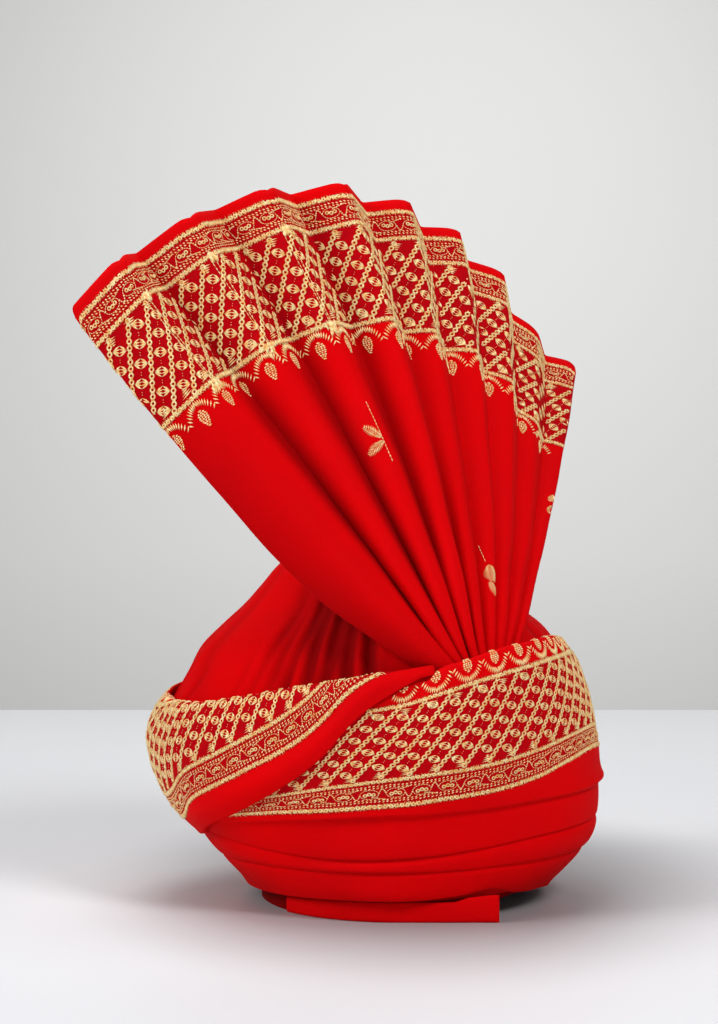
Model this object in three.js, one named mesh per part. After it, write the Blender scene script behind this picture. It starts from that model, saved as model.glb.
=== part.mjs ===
// A tied turban of red cloth with a gold embroidered border. A head ring carries a wound cap,
// three wraps lie round the cap's bowl, the border is wound once and a bit more round them, and
// the pleated end of the cloth stands up as a fan out of the pocket behind the border.
// Millimetres, +Z up. +X is the right-hand side seen from the front, +Y is the back.
// The origin is the centre of the head opening, on the surface that the turban rests on.
import * as THREE from 'three';

// The head opening, and the band that lines it
const headWidth = 158;
const headLength = 196;
const linerWall = 3;
const linerRise = 30;

// The space that two cloths keep, and the slack of a wrap round the curved cap
const layGap = 0.35;
const wrapSlack = 0.9;

// The cap: a bowl that swells out over the head opening, and a dome on it
const crownWall = 2.4;
const crownRim = 12;
const bowlRise = 150;
const domeRise = 78;
const domeShift = -12;
const fullLeft = 57;
const fullRight = 29;
const fullFront = 8;
const fullBack = 22;
const foldDepth = 5;
const foldsFrom = [0.72, 0.9];
const foldsTo = [0.3, 0.9];

// The wraps round the bowl: the lowest one's edge slants by its own rise
const wrapWall = 5.8;
const wrapSlant = 7;
const footSlant = 1.5;
const edgeRound = 2.2;
const edgeLap = 0.9;

// The border, which stands off the cap by shares of its stand
const bandWall = 2.2;
const bandStand = 20;
const bandRoll = 2.2;
const foldOver = 262;
const fullCurl = 0.2;
const bandTuck = 19;
const hemBulk = 0.45;
const bellyCurve = 1.5;
const openCurl = 25;
const overEnd = -78;

// The border's corners are mitred up to this many half walls, and its hem is thicker between
// the turns where it comes into sight and where its end is twisted flat
const bandMitre = 1.6;
const hemGrows = [-100, -85];
const hemFades = [262, 276];

// Where the border's section has its points: shares of the way from belly to hem and to top
const hemShares = [1, 0.75, 0.35];
const topShares = [0.05, 0.45, 0.8, 1];

// The pleated fan
const fanWall = 1.8;
const fanReach = 300;
const fanPuff = 10;
const fanBow = 10;
const fanDroop = 27;
const neckRise = 148;
const footRise = 122;
const footMiddle = 0.6;
const mitreLimit = 2.2;

// The folded strip that shows under the front
const flapWall = 4;
const flapLength = 57;
const flapStart = 225;
const flapLap = 0.5;
const flapLift = 6;
const flapRound = 1.5;
const flapHem = 1.2;
const flapStartDrop = 2;
const flapStations = [0.25, 0.5, 0.75, 0.93, 1];
const flapLiftFrom = 0.5;
const flapLiftTo = 0.9;
const flapFoot = 0.6;
const flapCrest = 0.5;

// Directions round the head, in degrees, every piece's stations lie on them
const coarseStep = 7.5;
const fineStep = 3.75;
const fineStart = 225;
const fineEnd = 285;

// The bowl: rise is a share of bowlRise, the rest are shares of the fullness on each side
const bowlRows = [
  { rise: 0.080, left: 0.00, right: 0.00, front: 0.00, back: 0.00, shift: 0.00 },
  { rise: 0.133, left: 0.16, right: 0.37, front: 0.22, back: 0.19, shift: 0.00 },
  { rise: 0.200, left: 0.33, right: 0.70, front: 0.47, back: 0.42, shift: 0.00 },
  { rise: 0.267, left: 0.47, right: 0.92, front: 0.72, back: 0.63, shift: 0.00 },
  { rise: 0.400, left: 0.74, right: 0.99, front: 0.94, back: 0.88, shift: 0.00 },
  { rise: 0.533, left: 0.93, right: 1.00, front: 1.00, back: 1.00, shift: 0.00 },
  { rise: 0.667, left: 0.98, right: 0.94, front: 1.00, back: 0.97, shift: 0.00 },
  { rise: 0.800, left: 0.86, right: 0.75, front: 0.66, back: 0.78, shift: 0.03 },
  { rise: 0.907, left: 0.69, right: 0.60, front: 0.16, back: 0.51, shift: 0.15 },
  { rise: 1.000, left: 0.52, right: 0.51, front: -0.34, back: 0.19, shift: 0.33 },
];

// The dome: rise is a share of domeRise, left and rest are shares of the bowl's top row
const domeRows = [
  { rise: 0.154, left: 0.873, rest: 0.930, shift: 0.50 },
  { rise: 0.308, left: 0.732, rest: 0.800, shift: 0.75 },
  { rise: 0.460, left: 0.623, rest: 0.690, shift: 0.92 },
  { rise: 0.630, left: 0.515, rest: 0.560, shift: 1.00 },
  { rise: 0.800, left: 0.365, rest: 0.395, shift: 1.00 },
  { rise: 0.930, left: 0.205, rest: 0.220, shift: 1.00 },
];

// Soft folds pressed into the cap: direction and half width in degrees, depth as a share
const crownFolds = [
  { azimuth: 184, halfWidth: 5, depth: 0.25 },
  { azimuth: 199, halfWidth: 5, depth: 0.25 },
  { azimuth: 232, halfWidth: 5, depth: 0.45 },
  { azimuth: 243, halfWidth: 4, depth: 0.65 },
  { azimuth: 253, halfWidth: 4, depth: 0.65 },
  { azimuth: 263, halfWidth: 4, depth: 0.55 },
  { azimuth: 20, halfWidth: 7, depth: 0.50 },
  { azimuth: 75, halfWidth: 8, depth: 0.60 },
  { azimuth: 128, halfWidth: 8, depth: 0.60 },
];

// The lower edges of the three wraps, and the top of the last, as shares of bowlRise
const wrapEdges = [
  { azimuth: 0, rim: 0.027, lower: 0.034, middle: 0.215, upper: 0.330, top: 0.530 },
  { azimuth: 45, rim: 0.000, lower: 0.022, middle: 0.205, upper: 0.325, top: 0.520 },
  { azimuth: 90, rim: 0.000, lower: 0.020, middle: 0.190, upper: 0.300, top: 0.480 },
  { azimuth: 135, rim: 0.000, lower: 0.027, middle: 0.175, upper: 0.275, top: 0.430 },
  { azimuth: 180, rim: 0.000, lower: 0.047, middle: 0.180, upper: 0.290, top: 0.420 },
  { azimuth: 206, rim: 0.000, lower: 0.060, middle: 0.190, upper: 0.285, top: 0.430 },
  { azimuth: 230, rim: 0.000, lower: 0.070, middle: 0.195, upper: 0.255, top: 0.480 },
  { azimuth: 252, rim: 0.000, lower: 0.080, middle: 0.195, upper: 0.238, top: 0.530 },
  { azimuth: 272, rim: 0.000, lower: 0.084, middle: 0.200, upper: 0.248, top: 0.550 },
  { azimuth: 290, rim: 0.000, lower: 0.100, middle: 0.205, upper: 0.273, top: 0.555 },
  { azimuth: 300, rim: 0.033, lower: 0.112, middle: 0.210, upper: 0.290, top: 0.555 },
  { azimuth: 312, rim: 0.058, lower: 0.082, middle: 0.213, upper: 0.308, top: 0.550 },
  { azimuth: 335, rim: 0.052, lower: 0.062, middle: 0.216, upper: 0.322, top: 0.540 },
];

// How far a wrap stands out over its width: share is the way up, bulk a share of wrapWall
const wrapSection = [
  { share: 0.00, bulk: 0.80 },
  { share: 0.45, bulk: 1.00 },
  { share: 0.78, bulk: 0.97 },
  { share: 1.00, bulk: 0.78 },
];

// The border from its hidden start at the front left, once round and over itself to the
// crossing. Heights are shares of bowlRise, outs are shares of bandStand, tuck of bandTuck.
const bandRows = [
  { turn: -145, hem: 0.360, belly: 0.467, top: 0.587, hemOut: 0.42, bellyOut: 0.40, topOut: 0.40, tuck: 0.0 },
  { turn: -134, hem: 0.380, belly: 0.500, top: 0.653, hemOut: 0.42, bellyOut: 0.40, topOut: 0.40, tuck: 0.0 },
  { turn: -120, hem: 0.400, belly: 0.533, top: 0.707, hemOut: 0.42, bellyOut: 0.40, topOut: 0.40, tuck: 0.0 },
  { turn: -110, hem: 0.410, belly: 0.567, top: 0.753, hemOut: 0.42, bellyOut: 0.40, topOut: 0.40, tuck: 0.0 },
  { turn: -100, hem: 0.422, belly: 0.600, top: 0.807, hemOut: 0.42, bellyOut: 0.41, topOut: 0.41, tuck: 0.0 },
  { turn: -92, hem: 0.428, belly: 0.627, top: 0.873, hemOut: 0.42, bellyOut: 0.44, topOut: 0.46, tuck: 0.0 },
  { turn: -86, hem: 0.430, belly: 0.647, top: 0.912, hemOut: 0.42, bellyOut: 0.52, topOut: 0.58, tuck: 0.0 },
  { turn: -82, hem: 0.432, belly: 0.653, top: 0.925, hemOut: 0.42, bellyOut: 0.57, topOut: 0.74, tuck: 0.0 },
  { turn: -78, hem: 0.436, belly: 0.653, top: 0.975, hemOut: 0.42, bellyOut: 0.60, topOut: 0.88, tuck: 0.1 },
  { turn: -73, hem: 0.440, belly: 0.653, top: 1.000, hemOut: 0.42, bellyOut: 0.60, topOut: 0.92, tuck: 0.2 },
  { turn: -64, hem: 0.448, belly: 0.640, top: 1.030, hemOut: 0.42, bellyOut: 0.58, topOut: 0.92, tuck: 0.2 },
  { turn: -50, hem: 0.463, belly: 0.620, top: 1.053, hemOut: 0.42, bellyOut: 0.50, topOut: 0.82, tuck: 0.2 },
  { turn: -27, hem: 0.473, belly: 0.580, top: 1.053, hemOut: 0.42, bellyOut: 0.32, topOut: 0.44, tuck: 0.1 },
  { turn: 0, hem: 0.484, belly: 0.560, top: 1.015, hemOut: 0.42, bellyOut: 0.29, topOut: 0.17, tuck: 0.0 },
  { turn: 45, hem: 0.467, belly: 0.580, top: 0.973, hemOut: 0.42, bellyOut: 0.35, topOut: 0.38, tuck: 0.1 },
  { turn: 90, hem: 0.407, belly: 0.560, top: 0.920, hemOut: 0.42, bellyOut: 0.38, topOut: 0.44, tuck: 0.12 },
  { turn: 135, hem: 0.333, belly: 0.560, top: 0.853, hemOut: 0.42, bellyOut: 0.42, topOut: 0.42, tuck: 0.12 },
  { turn: 180, hem: 0.280, belly: 0.627, top: 0.800, hemOut: 0.42, bellyOut: 0.45, topOut: 0.20, tuck: 0.0 },
  { turn: 200, hem: 0.287, belly: 0.613, top: 0.803, hemOut: 0.45, bellyOut: 0.54, topOut: 0.34, tuck: 0.3 },
  { turn: 212, hem: 0.347, belly: 0.620, top: 0.817, hemOut: 0.63, bellyOut: 0.66, topOut: 0.50, tuck: 0.6 },
  { turn: 223, hem: 0.407, belly: 0.650, top: 0.847, hemOut: 0.65, bellyOut: 0.69, topOut: 0.62, tuck: 0.8 },
  { turn: 232, hem: 0.473, belly: 0.690, top: 0.873, hemOut: 0.65, bellyOut: 0.69, topOut: 0.64, tuck: 0.9 },
  { turn: 240, hem: 0.543, belly: 0.733, top: 0.898, hemOut: 0.65, bellyOut: 0.69, topOut: 0.65, tuck: 0.9 },
  { turn: 246, hem: 0.607, belly: 0.773, top: 0.914, hemOut: 0.65, bellyOut: 0.69, topOut: 0.65, tuck: 0.8 },
  { turn: 251, hem: 0.677, belly: 0.813, top: 0.927, hemOut: 0.65, bellyOut: 0.69, topOut: 0.66, tuck: 0.6 },
  { turn: 255, hem: 0.727, belly: 0.847, top: 0.935, hemOut: 0.65, bellyOut: 0.69, topOut: 0.67, tuck: 0.4 },
  { turn: 260, hem: 0.785, belly: 0.880, top: 0.946, hemOut: 0.66, bellyOut: 0.70, topOut: 0.68, tuck: 0.1 },
  { turn: 266, hem: 0.845, belly: 0.910, top: 0.957, hemOut: 0.69, bellyOut: 0.73, topOut: 0.70, tuck: 0.0 },
  { turn: 271, hem: 0.897, belly: 0.937, top: 0.966, hemOut: 0.74, bellyOut: 0.77, topOut: 0.74, tuck: 0.0 },
  { turn: 276, hem: 0.935, belly: 0.957, top: 0.977, hemOut: 0.74, bellyOut: 0.76, topOut: 0.74, tuck: 0.0 },
  { turn: 280, hem: 0.962, belly: 0.973, top: 0.984, hemOut: 0.70, bellyOut: 0.71, topOut: 0.70, tuck: 0.0 },
];

// The fan's folds from left to right: azimuth and out place a fold in the pocket at the
// border's edge, swing and lean point it, reach is a share of fanReach, bow of fanBow,
// droop of fanDroop, and puff of fanPuff is how far the cloth after the fold swells.
const fanFolds = [
  { azimuth: -80.5, out: 0.20, swing: -43.6, lean: 4.6, reach: 0.946, bow: 0.0, droop: 1.0, puff: -0.2 },
  { azimuth: -82.0, out: 0.66, swing: -44.6, lean: 1.6, reach: 0.956, bow: 0.0, droop: 1.0, puff: 1.0 },
  { azimuth: -74.0, out: 0.66, swing: -39.4, lean: 3.7, reach: 1.007, bow: 0.14, droop: 0.0, puff: 0.0 },
  { azimuth: -72.5, out: 0.22, swing: -38.1, lean: 7.4, reach: 1.003, bow: -0.2, droop: 0.0, puff: 0.3 },
  { azimuth: -71.1, out: 0.66, swing: -31.2, lean: 6.6, reach: 1.013, bow: -0.15, droop: 0.0, puff: 0.0 },
  { azimuth: -69.6, out: 0.22, swing: -28.9, lean: 10.6, reach: 1.010, bow: -0.3, droop: 0.0, puff: 0.3 },
  { azimuth: -68.1, out: 0.66, swing: -23.1, lean: 10.1, reach: 1.011, bow: -0.5, droop: 0.0, puff: 0.0 },
  { azimuth: -66.7, out: 0.22, swing: -21.2, lean: 14.6, reach: 1.000, bow: -0.5, droop: 0.0, puff: 0.3 },
  { azimuth: -65.2, out: 0.66, swing: -15.5, lean: 14.3, reach: 0.995, bow: -0.6, droop: 0.0, puff: 0.0 },
  { azimuth: -63.7, out: 0.22, swing: -14.1, lean: 19.4, reach: 0.973, bow: -0.5, droop: 0.0, puff: 0.3 },
  { azimuth: -62.2, out: 0.66, swing: -9.2, lean: 20.9, reach: 0.974, bow: -0.3, droop: 0.0, puff: 0.0 },
  { azimuth: -60.8, out: 0.22, swing: -8.1, lean: 26.4, reach: 0.953, bow: -0.4, droop: 0.0, puff: 0.2 },
  { azimuth: -59.3, out: 0.66, swing: -3.8, lean: 28.2, reach: 0.957, bow: -0.6, droop: 0.0, puff: 0.0 },
  { azimuth: -57.8, out: 0.22, swing: -2.8, lean: 33.9, reach: 0.942, bow: -0.6, droop: 0.0, puff: 0.2 },
  { azimuth: -56.4, out: 0.66, swing: 2.0, lean: 36.1, reach: 0.937, bow: -0.6, droop: 0.0, puff: 0.0 },
  { azimuth: -54.9, out: 0.30, swing: 3.7, lean: 42.4, reach: 0.913, bow: -0.6, droop: 0.0, puff: 0.2 },
  { azimuth: -53.4, out: 0.66, swing: 7.9, lean: 45.0, reach: 0.907, bow: -0.6, droop: 0.0, puff: 0.0 },
  { azimuth: -52.0, out: 0.38, swing: 10.1, lean: 49.1, reach: 0.903, bow: -0.6, droop: 0.0, puff: 0.2 },
  { azimuth: -50.5, out: 0.80, swing: 16.2, lean: 50.5, reach: 0.924, bow: -0.3, droop: 0.0, puff: 0.0 },
];

// The fan's rows above the border's edge: up is a share of a fold's reach, droop shapes the
// sag of the left edge, and swell shapes the puff of the cloth between two folds
const fanRows = [
  { up: 0.00, droop: 0.16, swell: 0.3 },
  { up: 0.05, droop: 0.32, swell: 0.8 },
  { up: 0.12, droop: 0.47, swell: 1.0 },
  { up: 0.22, droop: 0.63, swell: 0.9 },
  { up: 0.36, droop: 0.71, swell: 0.7 },
  { up: 0.50, droop: 0.62, swell: 0.5 },
  { up: 0.66, droop: 0.51, swell: 0.4 },
  { up: 0.83, droop: 0.36, swell: 0.3 },
  { up: 1.00, droop: 0.12, swell: 0.2 },
];

const clothRed = new THREE.MeshStandardMaterial({ color: 0xc00410, roughness: 0.8, metalness: 0 });
const shadeRed = new THREE.MeshStandardMaterial({ color: 0x8e020a, roughness: 0.9, metalness: 0 });
const borderRed = new THREE.MeshStandardMaterial({ color: 0xb4301a, roughness: 0.7, metalness: 0 });

const radians = (degrees) => degrees * Math.PI / 180;
const lerp = THREE.MathUtils.lerp;

// A smooth value between the rows of a table. With a period the table runs round a circle.
function tableValue(rows, key, column, at, period = 0) {
  let list = rows;
  let where = at;
  if (period) {
    where = ((at % period) + period) % period;
    const shifted = (row, by) => ({ ...row, [key]: row[key] + by });
    const [first, second] = rows;
    const last = rows[rows.length - 1];
    list = [shifted(last, -period), ...rows, shifted(first, period), shifted(second, period)];
    if (where < rows[0][key]) {
      where += period;
    }
  }
  let i = 0;
  while (i < list.length - 2 && where > list[i + 1][key]) {
    i += 1;
  }
  const slope = (a, b) => (list[b][column] - list[a][column]) / (list[b][key] - list[a][key]);
  const span = list[i + 1][key] - list[i][key];
  const middle = slope(i, i + 1);
  const before = i > 0 ? (slope(i - 1, i) + middle) / 2 : middle;
  const after = i < list.length - 2 ? (slope(i + 1, i + 2) + middle) / 2 : middle;
  const t = THREE.MathUtils.clamp((where - list[i][key]) / span, 0, 1);
  const rise = (3 - 2 * t) * t * t;
  return lerp(list[i][column], list[i + 1][column], rise)
    + span * t * (1 - t) * (before * (1 - t) - after * t);
}

// The radius of a closed curve of four quarter ellipses, in one direction
function quarterRadius(azimuth, sides) {
  const c = Math.cos(radians(azimuth));
  const s = Math.sin(radians(azimuth));
  const across = c > 0 ? sides.right : sides.left;
  const along = s > 0 ? sides.back : sides.front;
  return 1 / Math.hypot(c / across, s / along);
}

const place = (azimuth, radius, z, shift = 0) => new THREE.Vector3(
  shift + radius * Math.cos(radians(azimuth)), radius * Math.sin(radians(azimuth)), z);

// The cap's outer half axes at the head ring, and in each row of its two tables
const seat = linerWall + layGap + crownWall;
const seatX = headWidth / 2 + seat;
const seatY = headLength / 2 + seat;

function bowlSides(row) {
  return {
    z: row.rise * bowlRise,
    left: seatX + fullLeft * row.left,
    right: seatX + fullRight * row.right,
    front: seatY + fullFront * row.front,
    back: seatY + fullBack * row.back,
    shift: row.shift * domeShift,
  };
}

const bowl = bowlRows.map(bowlSides);
const springing = bowl[bowl.length - 1];
const dome = domeRows.map((row) => ({
  z: bowlRise + row.rise * domeRise,
  left: springing.left * row.left,
  right: springing.right * row.rest,
  front: springing.front * row.rest,
  back: springing.back * row.rest,
  shift: row.shift * domeShift,
}));
const crownSides = [...bowl, ...dome];

// The cap's outer radius from the turban's axis, where the wraps and the border lie on it
function coreRadius(azimuth, z) {
  const sides = {};
  for (const side of ['left', 'right', 'front', 'back']) {
    sides[side] = z <= crownRim ? bowl[0][side] : tableValue(crownSides, 'z', side, z);
  }
  const shift = z <= crownRim ? 0 : tableValue(crownSides, 'z', 'shift', z);
  return quarterRadius(azimuth, sides) + shift * Math.cos(radians(azimuth));
}

const wrapEdge = (azimuth, edge) => bowlRise * tableValue(wrapEdges, 'azimuth', edge, azimuth, 360);

// The directions that every ring has its sections on
function ringStations() {
  const stations = [];
  for (let azimuth = 0; azimuth < 360;) {
    stations.push(azimuth);
    azimuth += azimuth >= fineStart && azimuth < fineEnd ? fineStep : coarseStep;
  }
  return stations;
}

// One closed body from its points and faces, turned outward by the sign of its volume
function closedBody(points, faces) {
  let volume = 0;
  for (const [a, b, c] of faces) {
    volume += points[a].dot(points[b].clone().cross(points[c]));
  }
  const outward = volume > 0 ? faces : faces.map(([a, b, c]) => [a, c, b]);
  const geometry = new THREE.BufferGeometry();
  geometry.setAttribute('position', new THREE.Float32BufferAttribute(points.flatMap((p) => p.toArray()), 3));
  geometry.setIndex(outward.flat());
  geometry.computeVertexNormals();
  return geometry;
}

// The faces that close a loop whose second half runs back beside its first
function capFaces(count, first, withOrder) {
  const faces = [];
  for (let j = 0; j < count / 2 - 1; j += 1) {
    const [a, b, c, d] = [j, j + 1, count - 2 - j, count - 1 - j].map((corner) => first + corner);
    faces.push(withOrder ? [a, b, c] : [a, c, b], withOrder ? [a, c, d] : [a, d, c]);
  }
  return faces;
}

// A body swept through loops of points, round a circle or with a flat cap at each end
function sweptBody(loops, closed) {
  const count = loops[0].length;
  const points = loops.flat();
  const faces = [];
  const spans = closed ? loops.length : loops.length - 1;
  for (let i = 0; i < spans; i += 1) {
    const here = i * count;
    const next = ((i + 1) % loops.length) * count;
    for (let j = 0; j < count; j += 1) {
      const k = (j + 1) % count;
      faces.push([here + j, next + j, next + k], [here + j, next + k, here + k]);
    }
  }
  if (!closed) {
    faces.push(...capFaces(count, 0, true));
    faces.push(...capFaces(count, (loops.length - 1) * count, false));
  }
  return closedBody(points, faces);
}

// The head ring, whose lower edge lifts a little at the front right
function headLiner() {
  const loops = ringStations().map((azimuth) => {
    const sides = (grow) => ({
      left: headWidth / 2 + grow,
      right: headWidth / 2 + grow,
      front: headLength / 2 + grow,
      back: headLength / 2 + grow,
    });
    const inner = quarterRadius(azimuth, sides(0));
    const outer = quarterRadius(azimuth, sides(linerWall));
    const rim = Math.max(0, wrapEdge(azimuth, 'rim'));
    return [
      place(azimuth, inner, rim),
      place(azimuth, outer, rim),
      place(azimuth, outer, linerRise - linerWall / 2),
      place(azimuth, (inner + outer) / 2, linerRise),
      place(azimuth, inner, linerRise - linerWall / 2),
    ];
  });
  return sweptBody(loops, true);
}

// How far the cap is pressed in by its folds, which fade out where the wraps cover it
function foldPress(azimuth, z) {
  const from = foldsFrom.map((share) => bowlRise * share);
  const to = foldsTo.map((share) => bowlRise + domeRise * share);
  const shown = THREE.MathUtils.smoothstep(z, ...from) * (1 - THREE.MathUtils.smoothstep(z, ...to));
  let press = 0;
  for (const fold of crownFolds) {
    const away = ((azimuth - fold.azimuth + 540) % 360 - 180) / fold.halfWidth;
    press += fold.depth * Math.exp(-away * away);
  }
  return foldDepth * shown * press;
}

// The cap: an open shell with one wall all over, closed at the top
function crown() {
  const stations = ringStations();
  const profile = (azimuth) => {
    const outline = crownSides.map((sides) => new THREE.Vector2(
      quarterRadius(azimuth, sides) - foldPress(azimuth, sides.z), sides.z));
    outline.push(new THREE.Vector2(0, bowlRise + domeRise));
    return outline;
  };
  const shifts = [...crownSides.map((sides) => sides.shift), domeShift];
  const rings = crownSides.length;
  const points = [];
  for (const azimuth of stations) {
    const outline = profile(azimuth);
    for (let i = 0; i < rings; i += 1) {
      points.push(place(azimuth, outline[i].x, outline[i].y, shifts[i]));
    }
    for (let i = 0; i < rings; i += 1) {
      const along = outline[i + 1].clone().sub(outline[Math.max(0, i - 1)]).normalize();
      const level = i === 0;
      const radius = outline[i].x - crownWall * (level ? 1 : along.y);
      points.push(place(azimuth, radius, outline[i].y + (level ? 0 : crownWall * along.x), shifts[i]));
    }
  }
  const poleOut = points.length;
  points.push(new THREE.Vector3(domeShift, 0, bowlRise + domeRise));
  points.push(new THREE.Vector3(domeShift, 0, bowlRise + domeRise - crownWall));
  const faces = [];
  for (let s = 0; s < stations.length; s += 1) {
    const here = s * 2 * rings;
    const next = ((s + 1) % stations.length) * 2 * rings;
    for (let i = 0; i < rings - 1; i += 1) {
      faces.push([here + i, next + i, next + i + 1], [here + i, next + i + 1, here + i + 1]);
      const a = here + rings + i;
      const b = next + rings + i;
      faces.push([a, b + 1, b], [a, a + 1, b + 1]);
    }
    faces.push([here + rings - 1, next + rings - 1, poleOut]);
    faces.push([here + 2 * rings - 1, poleOut + 1, next + 2 * rings - 1]);
    faces.push([here, next + rings, next], [here, here + rings, next + rings]);
  }
  return closedBody(points, faces);
}

// A wound fold of cloth round the bowl. Its lower edge laps over the fold below it, and the
// joint between two folds slants up and in, so that each fold tucks under the next.
function wrap(lowEdge, highEdge, lowSlant, highSlant, innerShares) {
  const loops = ringStations().map((azimuth) => {
    const low = wrapEdge(azimuth, lowEdge);
    const high = wrapEdge(azimuth, highEdge) - edgeLap;
    const inside = (share) => {
      const z = lerp(low + lowSlant, high + highSlant, share);
      return place(azimuth, coreRadius(azimuth, z) + layGap + wrapSlack, z);
    };
    const outside = (z, bulk) => {
      const lies = coreRadius(azimuth, z) + layGap + wrapSlack;
      return place(azimuth, lies + wrapWall * bulk, z);
    };
    const [edge, ...rows] = wrapSection;
    return [
      inside(0),
      outside(low, edge.bulk),
      outside(low + edgeRound, 1),
      ...rows.map((row) => outside(lerp(low, high, row.share), row.bulk)),
      inside(1),
      ...innerShares.map(inside),
    ];
  });
  return sweptBody(loops, true);
}

// Where the border's cloth runs at one turn: the middle of its wall at hem, belly and top
function bandCourse(turn) {
  const value = (column) => tableValue(bandRows, 'turn', column, turn);
  const hemZ = value('hem') * bowlRise;
  const bellyZ = value('belly') * bowlRise;
  const topZ = value('top') * bowlRise;
  const radius = (z, out) => coreRadius(turn, z) + bandStand * out + bandWall / 2;
  return {
    hemZ,
    bellyZ,
    topZ,
    hemR: radius(hemZ, value('hemOut')),
    bellyR: radius(bellyZ, value('bellyOut')),
    topR: radius(topZ, value('topOut')),
    tuck: Math.max(0, value('tuck')),
  };
}

// The border's middle line in section: up from the hem over the belly to the top, where it
// rolls inward and hangs down inside by its tuck
function bandLine(turn) {
  const course = bandCourse(turn);
  const bulge = (t) => (1 - t ** bellyCurve) ** (1 / bellyCurve);
  const line = [];
  for (const t of hemShares) {
    line.push(new THREE.Vector2(
      lerp(course.bellyR, course.hemR, 1 - bulge(t)), lerp(course.bellyZ, course.hemZ, t)));
  }
  for (const t of topShares) {
    line.push(new THREE.Vector2(
      lerp(course.bellyR, course.topR, 1 - bulge(t)), lerp(course.bellyZ, course.topZ, t)));
  }
  const [below, top] = line.slice(-2);
  const rise = top.clone().sub(below);
  let heading = Math.atan2(rise.y, rise.x);
  const curled = Math.min(1, course.tuck / fullCurl);
  const curl = lerp(radians(openCurl), radians(foldOver) - heading, curled);
  const onward = (length) => new THREE.Vector2(Math.cos(heading), Math.sin(heading)).multiplyScalar(length);
  let p = top;
  for (let bend = 0; bend < 2; bend += 1) {
    heading += curl / 2;
    p = p.clone().add(onward(bandRoll * curl / 2));
    line.push(p);
  }
  line.push(p.clone().add(onward(bandTuck * course.tuck + bandRoll / 3)));
  return line;
}

// Two parallel lines at a distance from a bent line, mitred at its corners
function thicken(line, halfWall) {
  const left = [];
  const right = [];
  line.forEach((p, i) => {
    const before = p.clone().sub(line[Math.max(0, i - 1)]);
    const after = line[Math.min(line.length - 1, i + 1)].clone().sub(p);
    const a = (before.length() > 0 ? before : after).clone().normalize();
    const b = (after.length() > 0 ? after : before).clone().normalize();
    const normal = new THREE.Vector2(-a.y - b.y, a.x + b.x);
    const mitre = normal.multiplyScalar(1 / (1 + a.dot(b)));
    const offset = mitre.clampLength(0, bandMitre).multiplyScalar(halfWall(i));
    left.push(p.clone().add(offset));
    right.push(p.clone().sub(offset));
  });
  return [left, right];
}

function borderTurns() {
  const first = bandRows[0].turn;
  const last = bandRows[bandRows.length - 1].turn;
  const turns = [first];
  for (const lap of [-360, 0]) {
    for (const azimuth of ringStations()) {
      if (azimuth + lap > first + 1 && azimuth + lap < last - 1) {
        turns.push(azimuth + lap);
      }
    }
  }
  return [...turns, last];
}

// The border: one strip, wound once round the wraps and then over its own start
function borderWrap() {
  const loops = borderTurns().map((turn) => {
    const line = bandLine(turn);
    const grown = THREE.MathUtils.smoothstep(turn, ...hemGrows);
    const shown = grown * (1 - THREE.MathUtils.smoothstep(turn, ...hemFades));
    const [left, right] = thicken(line, (i) => bandWall / 2 + (i < 2 ? hemBulk * shown : 0));
    return [...left, ...right.reverse()].map((p) => place(turn, p.x, p.y));
  });
  return sweptBody(loops, false);
}

// The depth of the pocket between the cap and the innermost of the border's cloth
function pocketDepth(azimuth) {
  const lastTurn = bandRows[bandRows.length - 1].turn;
  const turns = azimuth < overEnd ? [azimuth, Math.min(azimuth + 360, lastTurn)] : [azimuth];
  const upper = (turn) => bandLine(turn).slice(hemShares.length + 2);
  const faces = turns.map((turn) => Math.min(...upper(turn).map((p) => p.x)) - bandWall / 2);
  return Math.min(...faces) - coreRadius(azimuth, neckRise) - layGap;
}

// One fold of the fan: its foot in the pocket, its neck at the border's edge, then its rows
function fanFold(fold) {
  const inPocket = (z) => place(fold.azimuth,
    coreRadius(fold.azimuth, z) + layGap + fold.out * pocketDepth(fold.azimuth), z);
  const neck = inPocket(neckRise);
  const swing = radians(fold.swing);
  const lean = radians(fold.lean);
  const level = Math.cos(lean);
  const along = new THREE.Vector3(Math.sin(swing) * level, Math.sin(lean), Math.cos(swing) * level);
  const aside = new THREE.Vector3(-Math.cos(swing), 0, Math.sin(swing));
  const line = [inPocket(footRise), inPocket(lerp(footRise, neckRise, footMiddle))];
  for (const row of fanRows) {
    const bow = fanBow * fold.bow * 4 * row.up * (1 - row.up) + fanDroop * fold.droop * row.droop;
    const spot = neck.clone().addScaledVector(along, fanReach * fold.reach * row.up);
    line.push(spot.addScaledVector(aside, bow));
  }
  return line;
}

// The columns of the fan's cloth: every fold, and between two folds the puffed middle
function fanColumns() {
  const lines = fanFolds.map(fanFold);
  const swell = [0, 0, ...fanRows.map((row) => row.swell)];
  const columns = [];
  lines.forEach((line, i) => {
    columns.push(line);
    if (i < lines.length - 1) {
      const next = lines[i + 1];
      columns.push(line.map((p, j) => {
        const across = next[j].clone().sub(p);
        const up = line[Math.min(j + 1, line.length - 1)].clone().sub(line[Math.max(j - 1, 0)]);
        const out = across.cross(up).normalize();
        return p.clone().lerp(next[j], 0.5).addScaledVector(out, fanPuff * fanFolds[i].puff * swell[j]);
      }));
    }
  });
  return columns;
}

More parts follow.
